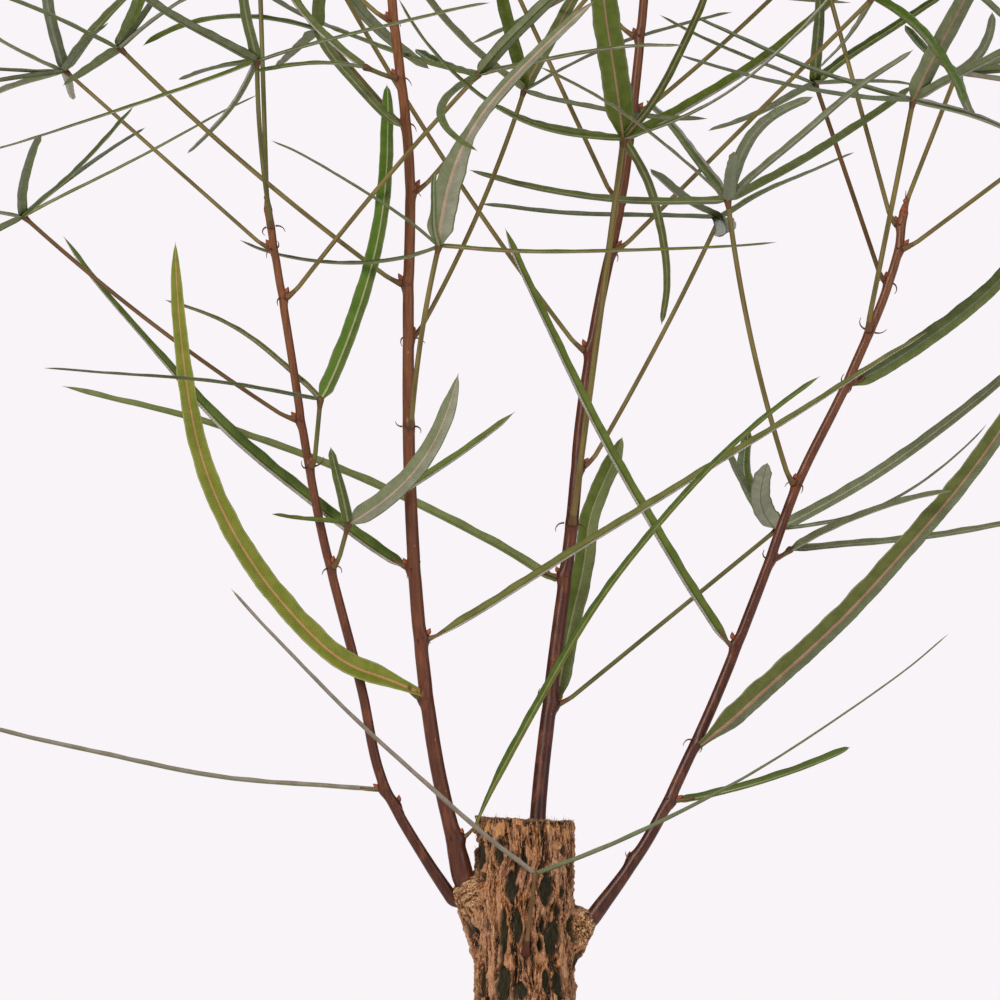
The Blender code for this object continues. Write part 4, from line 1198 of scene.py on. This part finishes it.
# Where a blade departs from the rule: the widths that it takes to open, how much it narrows on its
# way, the power of its tip (low is blunt), its width, and how its rib is broadened and moved aside
slowOpening = {"yellow": 2.3, "k_0": 1.4, "long_right": 3, "rising": 8, "broad_right": 2,
               "dark_left": 1.4, "crossing": 2, "behind": 1.6}
ownNarrowing = {"long_right": 0.6, "yellow": 0.58, "short_right": 0, "behind": 0.15, "long_left": 0.3,
                "dark_left": 0.1, "broad_right": 0.3, "h_2": 0.3}
ownTip = {"short_right": 0.22, "behind": 0.45, "h_2": 0.3, "r_0": 0.5, "yellow": 0.5}
ownWidth = {"trunk_0": 0.75, "trunk_1": 0.8, "k_5": 0.6, "k_1": 0.72, "u4_0": 0.72, "yellow": 0.95,
            "g_1": 0.6, "g_2": 1.5, "n_2": 0.75, "n_3": 0.62, "l_back_0": 1.25, "i_2": 0.8, "n_0": 0.92,
            "rising": 0.85, "r_1": 0.95, "p_2": 0.88, "dark_left": 0.95, "l_0": 0.9}
ownRib = {"i_0": (1.7, 0), "broad_right": (2, -0.1), "yellow": (1.2, 0), "h_2": (1, 0.12)}
# How much of its length a blade that is cut short keeps
ownLength = {"b_5": 0.5}
# Widths along a blade that is turned edge-on for part of its way, as shares of its length and factors
bladeWaists = {"i_0": ((0, 0.24, 0.38, 1), (1.25, 1.25, 0.66, 0.66)),
               "dark_left": ((0, 0.45, 0.72, 1), (1, 1, 0.5, 0.4)),
               "trunk_1": ((0, 0.3, 0.55, 1), (1.1, 1, 0.6, 0.5))}
# Where a long blade leaves its even bow: share of its length, breadth of the bump, shift in x and z
bladeBumps = {"behind": ((0.68, 0.16, -2.2, 0),), "yellow": ((0.12, 0.09, -0.7, -1.5),)}

# Finishes of the blades, as two tones of each, its roughness, and how strongly its veins stand out
bladeFinishes = {
    "deepGreen": ((0.052, 0.086, 0.008), (0.08, 0.118, 0.014), 0.5, 0.28),
    "brightGreen": ((0.06, 0.12, 0.007), (0.088, 0.155, 0.013), 0.48, 0.28),
    "leafGreen": ((0.09, 0.122, 0.014), (0.125, 0.16, 0.024), 0.5, 0.28),
    "fernGreen": ((0.17, 0.2, 0.062), (0.215, 0.24, 0.09), 0.52, 0.28),
    "mossGreen": ((0.115, 0.117, 0.022), (0.155, 0.153, 0.036), 0.52, 0.28),
    "rustGreen": ((0.084, 0.096, 0.02), (0.118, 0.124, 0.032), 0.52, 0.28),
    # The next tone is greyGreen made paler and bluer: a painted sheen
    "hazeGreen": ((0.13, 0.15, 0.095), (0.175, 0.195, 0.128), 0.6, 0.28),
    # The next tone is greyGreen at about two thirds of its brightness: painted shade
    "duskGreen": ((0.068, 0.084, 0.024), (0.098, 0.116, 0.038), 0.5, 0.28),
    "greyGreen": ((0.11, 0.136, 0.04), (0.15, 0.174, 0.06), 0.54, 0.28),
    "underPale": ((0.37, 0.36, 0.29), (0.45, 0.43, 0.36), 0.7, 0.35),
    "underGrey": ((0.265, 0.27, 0.18), (0.35, 0.34, 0.245), 0.66, 0.35),
    "underGreen": ((0.165, 0.185, 0.095), (0.215, 0.23, 0.13), 0.62, 0.8),
    # The next tone is underGreen at about five sixths of its brightness: painted shade
    "underDusk": ((0.14, 0.156, 0.076), (0.185, 0.202, 0.106), 0.62, 0.8),
    "underDry": ((0.22, 0.185, 0.14), (0.29, 0.245, 0.195), 0.68, 0.4),
    "ribPink": ((0.3, 0.16, 0.098), (0.38, 0.225, 0.15), 0.5, 0),
    "ribRose": ((0.4, 0.28, 0.2), (0.49, 0.36, 0.275), 0.5, 0),
    "ribPale": ((0.25, 0.255, 0.12), (0.33, 0.32, 0.165), 0.5, 0),
    "paleMargin": ((0.155, 0.17, 0.075), (0.205, 0.215, 0.105), 0.5, 0),
    "whiteEdge": ((0.4, 0.36, 0.3), (0.52, 0.48, 0.42), 0.65, 0.5),
}
yellowFinishes = {
    "yellowUpper": ((0.155, 0.182, 0.018), (0.212, 0.216, 0.03), 0.5, 0.6),
    "yellowUnder": ((0.27, 0.29, 0.11), (0.31, 0.32, 0.14), 0.6, 0.8),
    "yellowRib": ((0.4, 0.2, 0.08), (0.45, 0.25, 0.11), 0.5, 0),
    "yellowMargin": ((0.28, 0.29, 0.09), (0.35, 0.35, 0.13), 0.5, 0),
}
# Tones of the left and right half of the upper side, the same of the underside where it isn't
# underGreen, and the rib, then the blades that have them; deep stands for deepGreen, and so on.
# Where the halves of the upper side differ, the darker and the paler tone paint in the shade and
# sheen of a fold that turns one half to the light and one away.
toneRows = {
    "deep deep leaf": "dark_left",
    "fern fern fern": "long_left",
    "moss moss moss": "long_right",
    "deep moss fern": "rising",
    "leaf fern ribPale": "behind",
    "deep leaf underGrey underGrey leaf": "crossing",
    "rust rust underDusk rust ribPink": "broad_right",
    "deep leaf ribPale": "short_right",
    "dusk grey underGrey underGrey haze": "far_right",
    "underGreen underDry underGreen underDry underDry": "low_left",
    "underDry underDry underDry underDry underDry": "trunk_0",
    "dusk underDusk dusk underDusk underDusk": "trunk_1",
    "bright deep ribPale": "h_2",
    "leaf moss ribPale": "k_5",
    "grey grey underGreen": "l_6",
    "grey grey haze underGreen underGrey": "l_2",
    "leaf leaf leaf leaf ribPink": "k_0",
    "haze grey underDusk": "k_3",
    "haze grey ribPale": "l_5",
    "grey haze haze": "l_back_3",
    "leaf leaf leaf": "k_1",
    "leaf deep ribPale": "p_0",
    "deep leaf leaf": "p_1",
    "leaf leaf underGrey underGreen ribRose": "p_2 i_0",
    "leaf deep leaf deep ribPale": "i_4 g_2 m_0",
    "haze haze underGreen haze underGrey": "a_0",
    "underGrey underGrey underPale underGrey underGrey": "a_7",
    "grey leaf grey grey grey": "b_5",
    "grey haze underGreen underGrey underGreen": "b_4",
    "leaf grey leaf grey leaf": "b_0",
    "haze grey underGreen underDusk grey": "g_0",
    "haze dusk underDusk haze haze": "g_1",
    "dusk dusk dusk dusk grey": "l_back_0",
    "deep leaf leaf deep ribPale": "m_1",
    "grey haze underGreen underDusk underGreen": "n_2",
    "dusk haze underDusk underDusk dusk": "n_3",
    "haze underGreen underGrey": "o_0",
    "leaf leaf underGrey underGrey underGreen": "r_0",
    "bright leaf leaf leaf ribPale": "r_1",
    "underDusk underDusk underDusk underDusk underDusk": "r_2",
    "underDusk underGreen underGrey": "r_3 s_1",
    "underDusk underDusk underGrey": "r_4",
    "underDusk underGrey underDusk": "s_0",
    "dusk dusk underDusk underDusk ribPink": "n_0",
    "haze grey underGrey": "l_0",
    "bright leaf leaf": "u4_0",
}
# The edge that shows a pale strip: -1 is left and 1 right of the way the blade grows, from above
paleEdges = {"dark_left": -1, "long_right": 1, "crossing": -1, "k_1": 1}
toneChances = {
    "upper": (("greyGreen", 0.34), ("leafGreen", 0.34), ("duskGreen", 0.12), ("deepGreen", 0.2)),
    "under": (("underGrey", 0.2), ("underGreen", 0.5), ("underDusk", 0.3)),
    "rib": (("", 0.5), ("ribPale", 0.3), ("ribPink", 0.2)),
    "edge": ((-1, 0.12), (0, 0.76), (1, 0.12)),
}
toneSeed = 17


def wholeTones(words):
    tones = [word if word in bladeFinishes else word + "Green" for word in words.split()]
    return tones if len(tones) > 3 else [*tones[:2], "underGreen", "underGreen", tones[2]]


leafTones = {key: wholeTones(words) for words, keys in toneRows.items() for key in keys.split()}


def wavelets(along, length, phase):
    return np.sin(fullTurn * along / length + phase)


def halfWidths(along, length, width, key):
    # Half of the width: opens over a few widths, narrows a little on its way, closes over the last
    # widths, and ends in a hair
    look = bladeLook
    width = width * ownWidth.get(key, 1)
    opening = slowOpening.get(key, look["opening"]) * width
    opened = look["baseShare"] + (1 - look["baseShare"]) * easeBetween(along[0], along[0] + opening, along)
    left = np.maximum(length - along, 0)
    hair, hairHalf = look["hairTip"]
    closed = np.clip((left - hair) / (look["closing"] * width), 0, 1) ** ownTip.get(key, look["closingPower"])
    narrowed = 1 - ownNarrowing.get(key, look["narrowing"]) * (along / length) ** 2
    waists = bladeWaists.get(key, ((0, 1), (1, 1)))
    broad = 0.5 * width * opened * closed * narrowed * np.interp(along / length, *waists)
    return np.maximum(broad, hairHalf * np.clip(left / hair, 0.3, 1))


def bladeLine(blade, key, isSimple, dice):
    # The middle line, and its frame at each point. It wanders a little off its bow, by a sine
    # across it and another square to it, and its frame turns evenly along it.
    look, kept = bladeLook, ownLength.get(key, 1)
    length = blade["length"] * kept
    count = max(16, round(length / look["fineStep" if key in fineBlades else "step"]))
    s = np.linspace(0, 1, count + 1)[:-1]
    t = s - look["crowdedEnds"] * np.sin(fullTurn * s) / fullTurn
    back = look["onShortStalk"] if isSimple and key != "rising" else look["sunk"]
    t = t - (1 - t) * back / length
    path, along = blade["at"](t * kept), t * length
    start, end = blade["at"](np.array([0, 0.8]))
    facing = facingOf(end - start, blade["turn"])
    across = np.cross(unit(end - start), facing)
    share, most, wave = look["wander"]
    phases = dice.uniform(0, fullTurn, 6)
    calm = easeBetween(0, look["calm"], along) * easeBetween(0, look["calm"], length - along)
    drift = min(share * length, most) * calm
    path = path + across * (drift * wavelets(along, wave, phases[4]))[:, None]
    path = path + facing * (1.2 * drift * wavelets(along, 1.3 * wave, phases[5]))[:, None]
    for at, broad, shiftX, shiftZ in bladeBumps.get(key, ()):
        path = path + bell((t - at) / broad)[:, None] * calm[:, None] * np.array([shiftX, 0, shiftZ])
    tangents, normals, sides = squareFrames(path, facing)
    most = look["twist"] * (0.5 if key in leafTones else 1)
    twist = np.radians(most * dice.uniform(-1, 1)) * (t - look["twistFrom"])[:, None]
    turned = normals * np.cos(twist) + sides * np.sin(twist)
    sides = sides * np.cos(twist) - normals * np.sin(twist)
    poles = [path[0] - tangents[0] * 0.1, blade["at"](np.array([kept]))[0]]
    return path, turned, sides, poles, t[:, None], along, length, phases


def bladeRings(blade, key, isSimple, edge, dice):
    # A folded closed section carried along the middle line: place = line + side * share * half
    # width + normal * (fold * |share| + curl + wave + skin), upper side first from margin to margin
    look = bladeLook
    path, normals, sides, poles, t, along, length, phases = bladeLine(blade, key, isSimple, dice)
    half = halfWidths(along, length, blade["width"], key)[:, None]
    broader, aside = ownRib.get(key, (1, 0))
    tapered = 1 - look["ribTaper"] * t
    rib = np.minimum(broader * look["ribWidth"] * tapered / half, look["mostRib"])
    lefty, righty = (look["edgeShare" if edge == side else "marginShare"] for side in (-1, 1))
    upper = [-1, -lefty, -0.5, aside - rib, aside, aside + rib, 0.5, righty]
    under = [1, righty, 0.5, aside + rib, aside, aside - rib, -0.5, -lefty]
    share = np.concatenate([value + 0 * half for value in upper + under], 1)
    away = np.abs(share)
    fold = math.tan(math.radians(dice.uniform(*look["fold"])))
    height = fold * half * (away - 0.5) - look["curl"] * half * np.maximum(away - 0.5, 0) ** 2
    by, wave = look["wave"]
    left = wavelets(along, wave, phases[0]) + wavelets(along, 1.7 * wave, phases[1])
    right = wavelets(along, 1.1 * wave, phases[2]) + wavelets(along, 1.5 * wave, phases[3])
    waves = np.where(share < 0, left[:, None], right[:, None])
    height = height + by * half * away**2 * waves
    by, wave = look["scallop"]
    left, right = wavelets(along, wave, phases[0]), wavelets(along, 1.2 * wave, phases[1])
    teeth = (by if key in fineBlades else 0) * np.where(share < 0, left[:, None], right[:, None])
    swell = 1 + teeth + 0.05 * waves * 0.5
    skin = np.array([0, 0.6, 1, 1, 0.7, 1, 1, 0.6, 0, -0.6, -1, -1, -1, -1, -1, -0.6])
    keel = np.array([0] * 11 + [0.35, 1, 0.35, 0, 0])
    thickness = np.minimum(look["thickness"] * (1 - look["thinTip"] * t), 1.2 * half)
    height = height + 0.5 * thickness * skin - look["keel"] * tapered * np.minimum(half, 1) * keel
    rings = path[:, None] + sides[:, None] * (share * half * swell)[:, :, None]
    return rings + normals[:, None] * height[:, :, None], poles, along, float(half.max())


def byChance(dice, chances):
    roll = dice.random()
    for tone, share in chances:
        roll -= share
        if roll < 0:
            return tone
    return chances[-1][0]


def dealtTones(key, dice):
    # Tones of both halves of the upper side and the underside, rib and margins, and the pale edge
    if key == "yellow":
        return ["yellowUpper"] * 2 + ["yellowUnder"] * 2 + ["yellowRib"] + ["yellowMargin"] * 2, 0
    upper, under, rib, edge = (byChance(dice, chances) for chances in toneChances.values())
    if key in leafTones:
        (left, right, leftUnder, rightUnder, rib), edge = leafTones[key], paleEdges.get(key, 0)
    else:
        left, right, leftUnder, rightUnder, rib = upper, upper, under, under, rib or upper
    margins = ["whiteEdge" if edge == side else "paleMargin" if edge or rib[:3] == "rib" else tone
               for side, tone in ((-1, left), (1, right))]
    return [left, right, leftUnder, rightUnder, rib, *margins], edge


def makeBlades(name, chosen, materials, dice):
    # On the UV map each section runs from margin to margin and back, as wide as the blade is at
    # its widest, and each of its sixteen faces takes the tone of its part
    heap = newHeap()
    across = [-1, -0.88, -0.5, -0.1, 0, 0.1, 0.5, 0.88]
    across = np.array(across + [1] + across[:0:-1] + [-1])
    order = list(materials)
    for leaf in chosen:
        isSimple = leaf["key"] in simpleLeaves
        for number, blade in enumerate(leaf["blades"]):
            key = leaf["key"] if isSimple else f"{leaf['key']}_{number}"
            tones, edge = dealtTones(key, dice)
            left, right, leftUnder, rightUnder, rib, leftMargin, rightMargin = map(order.index, tones)
            slots = [leftMargin, left, left, rib, rib, right, right, rightMargin,
                     rightMargin, rightUnder, rightUnder, rib, rib, leftUnder, leftUnder, leftMargin]
            rings, poles, along, half = bladeRings(blade, key, isSimple, edge, dice)
            addRings(heap, rings, poles, across * half, along, slots)
    makePiece(name, heap, materials.values(), [leaf["name"] for leaf in chosen])


veinLook = {
    "slant": 0.7,
    "step": 0.9,
    "cover": 0.3,
    "darker": 0.62,
}


def bladeFinish(name, first, second, roughness, veins):
    # Two tones in soft patches, crossed by fine slanting veins: a sine of the place along the
    # blade, less the slant times the distance from the rib
    finish, shader = newFinish(name, first, roughness, 0.22)
    toned = layered(first, (speckle(shader, 260, 4), 0.38, 0.62, 1, second))
    grain = speckle(shader, 2600, 2)
    if not veins:
        dress(shader, toned, grain, 0.05, 0.5)
        return finish
    place = addNode(shader, "SeparateXYZ", {"Vector": placeOnSkin(shader)}).outputs
    look = veinLook
    slanted = maths("SUBTRACT", place["Y"], times(maths("ABSOLUTE", place["X"]), look["slant"]))
    ripple = maths("SINE", times(slanted, fullTurn / look["step"]))
    darker = tuple(look["darker"] * part for part in first)
    veined = layered(toned, (ripple, 0.2, 1, look["cover"] * veins, darker))
    dress(shader, veined, plus(times(ripple, veins), grain), 0.07, 0.7)
    return finish


# Stalks

stalkLook = {
    "sides": 10,
    "step": 2.4,
    "radius": 0.66,
    "foot": (0.55, 2.4),
    "hub": (0.42, 1.4),
    "beyondHub": (0.405, 0.72),
    "rounding": (0.88, 0.5),
    "sunk": 0.8,
    "rootLength": 4,
    "redFoot": 1.6,
    "brownFoot": 5,
    "trunkRed": 6,
    "redHub": 1.8,
    "oliveShare": 0.35,
    "thick": {"k": 1.34, "a": 0.85, "g": 0.9, "i": 1.1, "l": 1.1, "n": 1.1, "trunk": 0.92},
    "thickFoot": {"trunk": (0.35, 6)},  # what the lower part is thicker by, and over what length
    "brown": ("g", "m"),
    "streaks": (4.5, 5, 1),
    "darker": 0.42,
}
stalkFinishes = {
    "footRed": ((0.095, 0.026, 0.012), 0.5),
    "brownStalk": ((0.17, 0.09, 0.034), 0.5),
    "oliveStalk": ((0.225, 0.168, 0.05), 0.5),
    "greenStalk": ((0.165, 0.15, 0.045), 0.5),
    "hubRed": ((0.165, 0.078, 0.034), 0.55),
    "amberStalk": ((0.19, 0.09, 0.032), 0.5),
}


def makeStalks(finishes, dice):
    # A round stalk whose first stretch curves out of the shoot on a parabola, thick at its foot
    # and at the hub: radius = slim + foot bell + hub bell, rounded off past the hub
    look, heap = stalkLook, newHeap()
    for leaf in leaves:
        key, at, foot, out, hub = (leaf[part] for part in ("key", "stalkAt", "foot", "out", "hub"))
        isSimple = len(leaf["blades"]) < 2
        start = at(np.array([0]))[0]
        length = np.linalg.norm(hub - start)
        rootShare = min(0.8, look["rootLength"] / length)
        beneath = foot - out * (gap + look["sunk"])
        joined = at(np.array([rootShare]))[0]
        root = parabola(np.linspace(0, 1, 7)[:-1, None], beneath, start - out * 0.6, joined)
        count = max(4, round(length * (1 - rootShare) / look["step"]))
        path = np.concatenate([root, at(np.linspace(rootShare, 1, count))])
        last = unit(path[-1] - path[-2])
        path = np.concatenate([path, hub + last * np.array(look["beyondHub"])[:, None]])
        steps = np.concatenate([[0], np.cumsum(np.linalg.norm(np.diff(path, axis=0), axis=1))])
        toHub = steps[-3] - steps
        radii = look["radius"] * look["thick"].get(key, 0.7 if isSimple else 1)
        bells = [(steps, *look["foot"]), (steps, *look["thickFoot"].get(key, (0, 1)))]
        for away, by, fade in bells if isSimple else [*bells, (toHub, *look["hub"])]:
            radii = radii + by * bell(away / fade)
        radii[-2:] *= look["rounding"]
        middle, fromHub = 0.5 * (steps[1:] + steps[:-1]), 0.5 * (toHub[1:] + toHub[:-1])
        slots = np.full(len(middle), 3 if dice.random() < look["oliveShare"] else 2)
        slots[middle < look["brownFoot"]] = 1
        slots[middle < look["redFoot"]] = 0
        if key in look["brown"]:
            slots[slots > 1] = 1
        if leaf["shoot"] == "trunk":
            slots[:] = np.where(middle < look["trunkRed"], 0, 5)
        slots[fromHub < look["redHub"]] = 4
        poles = [path[0], path[-1] + last * 0.15]
        addTube(heap, path, radii, look["sides"], (0.3, -1, 0.2), poles, steps / 100, slots[:, None])
    makePiece("leafStalks", heap, finishes, [leaf["name"] for leaf in leaves])


def stalkFinish(name, colour, roughness):
    # Streaks run the length of the stalk: noise on the place round it, drawn out along it
    finish, shader = newFinish(name, colour, roughness, 0.25)
    streaks = speckle(shader, 1, 3, stalkLook["streaks"], 0.5, 0, placeOnSkin(shader))
    darker = tuple(stalkLook["darker"] * part for part in colour)
    toned = layered(colour, (streaks, 0.42, 0.6, 0.8, darker),
                    (speckle(shader, 160, 2), 0.5, 0.7, 0.3, (0.17, 0.075, 0.03)))
    dress(shader, toned, speckle(shader, 2200, 2), 0.05, 0.5)
    return finish


# Stipules and buds

trimLook = {
    "stipuleLength": (2.8, 4.8),
    "stipuleRadius": 0.3,
    "curlTurns": 0.34,
    "curlVaries": (0.4, 1.2),
    "sideTurn": 82,
    "sideVaries": (0.8, 1.2),
    "budLength": (1.6, 2.8),
    "budRadius": 0.72,
    "budLean": 0.55,
    "budPlace": (0.25, 0.9),  # out from the shoot and up it
    "tipBud": 4.6,
    "tipSunk": 1.3,
    "tipBroad": 1.08,
    "seed": 23,
}
trimFinishes = {"driedThread": ((0.19, 0.065, 0.032), 0.6), "budScale": ((0.34, 0.085, 0.04), 0.5)}


def makeTrim(threadFinish, budFinish):
    # Two curled threads and a small bud at every node. A thread turns from outward towards its own
    # end direction, by bend * t^1.3, and a bud's radius is half a sine, drawn to a point.
    look, threads, buds = trimLook, newHeap(), newHeap()
    dice = np.random.default_rng(look["seed"])
    t = np.linspace(0, 1, 9)
    for name, shoot in shoots.items():
        for foot, out in nodePlaces(name):
            places = shootPlaces(name, min(foot[2], shoot["rise"][-1]))
            centre, direction, radius = (values[0] for values in places)
            for way in (-1, 1):
                turn = math.radians(look["sideTurn"] * way * dice.uniform(*look["sideVaries"]))
                side = np.cross(direction, out)
                outward = unit(out * math.cos(turn) + side * math.sin(turn))
                length = dice.uniform(*look["stipuleLength"])
                bend = fullTurn * look["curlTurns"] * dice.uniform(*look["curlVaries"])
                up = unit(direction * dice.choice([-0.6, 1]) + side * dice.uniform(-0.5, 0.5))
                up = unit(up - up.dot(outward) * outward)
                angles = bend * t[:, None] ** 1.3
                steps = np.cos(angles) * outward + np.sin(angles) * up
                path = centre + outward * radius * 0.9 + np.cumsum(steps, axis=0) * length / len(t)
                radii = look["stipuleRadius"] * (1 - 0.75 * t)
                addTube(threads, path, radii, 5, unit(np.cross(outward, up)), path[[0, -1]], t)
            axis = unit(direction + look["budLean"] * out)
            size = dice.uniform(*look["budLength"])
            s = np.linspace(0.06, 0.94, 8)
            outBy, upBy = look["budPlace"]
            path = centre + out * (radius + outBy) + direction * upBy + axis * (s * size)[:, None]
            radii = look["budRadius"] * np.sin(math.pi * s**0.75) ** 0.8
            poles = [path[0] - axis * 0.1, path[-1] + axis * 0.25]
            addTube(buds, path, radii, 9, unit(np.cross(axis, out) + 0.01), poles, s)
    for name, shoot in shoots.items():
        centre, direction, radius = (values[0] for values in shootPlaces(name, shoot["rise"][-1]))
        s = np.linspace(0.02, 0.96, 9)
        path = centre + direction * (s[:, None] * look["tipBud"] - look["tipSunk"])
        radii = look["tipBroad"] * radius * np.sin(math.pi * (0.45 + 0.55 * s)) ** 0.8
        poles = [path[0] - direction * 0.2, path[-1] + direction * 0.3]
        addTube(buds, path, radii, 10, (0, -1, 0.2), poles, s)
    makePiece("stipules", threads, [threadFinish], [])
    makePiece("buds", buds, [budFinish], [])


# Everything in its place

makeStump([barkFinish(), sawnFinish()])
makeTornFibres(stalkFinish("tornFibre", (0.3, 0.17, 0.09), 0.8))
redBark = shootFinish()
for shootName in shoots:
    makeShoot(shootName, redBark)
toneDice = np.random.default_rng(toneSeed)
greenMade, yellowMade = ({name: bladeFinish(name, *row) for name, row in rows.items()}
                         for rows in (bladeFinishes, yellowFinishes))
leftShoots = ("shoot_1", "shoot_2", "trunk")
greenLeaves = [leaf for leaf in leaves if leaf["key"] != "yellow"]
for pieceName, isLeft in (("bladesLeft", True), ("bladesRight", False)):
    chosen = [leaf for leaf in greenLeaves if (leaf["shoot"] in leftShoots) == isLeft]
    makeBlades(pieceName, chosen, greenMade, toneDice)
chosen = [leaf for leaf in leaves if leaf["key"] == "yellow"]
makeBlades("bladeYellow", chosen, yellowMade, toneDice)
makeStalks([stalkFinish(name, *row) for name, row in stalkFinishes.items()], toneDice)
makeTrim(*(stalkFinish(name, *row) for name, row in trimFinishes.items()))
print("plant made")


# Camera, light and floor

stage = {
    "eye": (-0.007, -2.6, 0.155),
    "aim": (-0.00686, 0, 0.2393),
    "lens": 334.3,
    "backdrop": (0.947, 0.905, 0.94, 1),
    "skyLight": (0.95, 0.93, 0.88, 1),
    "ambient": 0.46,
    "reflected": 0.07,
    "floorTone": 0.86,
    "floorFades": (0.55, 1.5),
    "floorRadius": 2.4,
    "lit": (0, 0, 0.26),
    "lights": {  # place, size, power and warmth of each soft box
        "keyBox": ((-1.2, -1.9, 1.3), 0.9, 36, (1, 0.985, 0.96)),
        "fillBox": ((1.6, -1.5, 0.7), 1.3, 11, (0.97, 0.985, 1)),
        "backBox": ((0.4, 1.9, 1.3), 1.3, 12, (1, 1, 1)),
    },
}


def stand(name, data, place, target):
    # Puts a camera or a lamp at its place, turned to its target
    thing = bpy.data.objects.new(name, data)
    bpy.context.scene.collection.objects.link(thing)
    thing.location = place
    direction = mathutils.Vector(target) - mathutils.Vector(place)
    thing.rotation_euler = direction.to_track_quat("-Z", "Y").to_euler()
    return thing


def mixShaders(share, first, second):
    return addNode(share, "MixShader", {0: share, 1: first, 2: second}).outputs[0]


def setLights():
    scene = bpy.context.scene
    scene.view_settings.view_transform = "Standard"
    camera = bpy.data.cameras.new("studioCamera")
    camera.sensor_width, camera.lens = 36, stage["lens"]
    camera.clip_start, camera.clip_end = 0.05, 60
    scene.camera = stand("studioCamera", camera, stage["eye"], stage["aim"])
    for name, (place, size, power, tint) in stage["lights"].items():
        lamp = bpy.data.lights.new(name, "AREA")
        lamp.size, lamp.energy, lamp.color = size, power, tint
        stand(name, lamp, place, stage["lit"])

    # The world is plain to the camera, dim to matt surfaces and dimmer in reflections
    scene.world = bpy.data.worlds.new("paleStudio")
    scene.world.use_nodes = True
    tree = scene.world.node_tree
    tree.nodes.clear()
    glows = (("backdrop", 1), ("skyLight", stage["ambient"]), ("skyLight", stage["reflected"]))
    seen, dim, shiny = (addNode(tree, "Background", {"Color": stage[tint], "Strength": by}).outputs[0]
                        for tint, by in glows)
    rays = addNode(tree, "LightPath", {}).outputs
    matt = mixShaders(rays["Is Glossy Ray"], dim, shiny)
    addNode(tree, "OutputWorld", {"Surface": mixShaders(rays["Is Camera Ray"], matt, seen)})


def setFloor():
    # The floor is plain and pale by the plant, and fades into the backdrop further out
    t = np.linspace(0, 1, 40)[1:, None] ** 1.5 * stage["floorRadius"]
    angle = np.linspace(0, fullTurn, 97)[None, :-1]
    disc = np.stack([t * np.cos(angle), t * np.sin(angle), 0 * t * angle], -1)
    index = np.arange(disc[..., 0].size).reshape(disc.shape[:2])
    beside = np.roll(index, -1, axis=1)
    quads = np.stack([index[:-1], index[1:], beside[1:], beside[:-1]], -1).reshape(-1, 4)
    mesh = bpy.data.meshes.new("floor")
    mesh.from_pydata(disc.reshape(-1, 3).tolist(), [], quads.tolist() + [index[0].tolist()])
    floor = bpy.data.objects.new("floor", mesh)
    bpy.context.scene.collection.objects.link(floor)
    finish, shader = newFinish("paleFloor", (stage["floorTone"],) * 3, 0.9, 0.1)
    low, high = stage["floorFades"]
    limits = {"Value": lengthOf(placeOn(shader)), "From Min": low, "From Max": high}
    fade = addNode(shader, "MapRange", limits, interpolation_type="SMOOTHSTEP").outputs["Result"]
    glow = addNode(shader, "Emission", {"Color": stage["backdrop"]}).outputs[0]
    surface = finish.node_tree.nodes["Material Output"].inputs["Surface"]
    join(mixShaders(fade, shader.outputs[0], glow), surface)
    mesh.materials.append(finish)


setLights()
setFloor()
print("stage set")
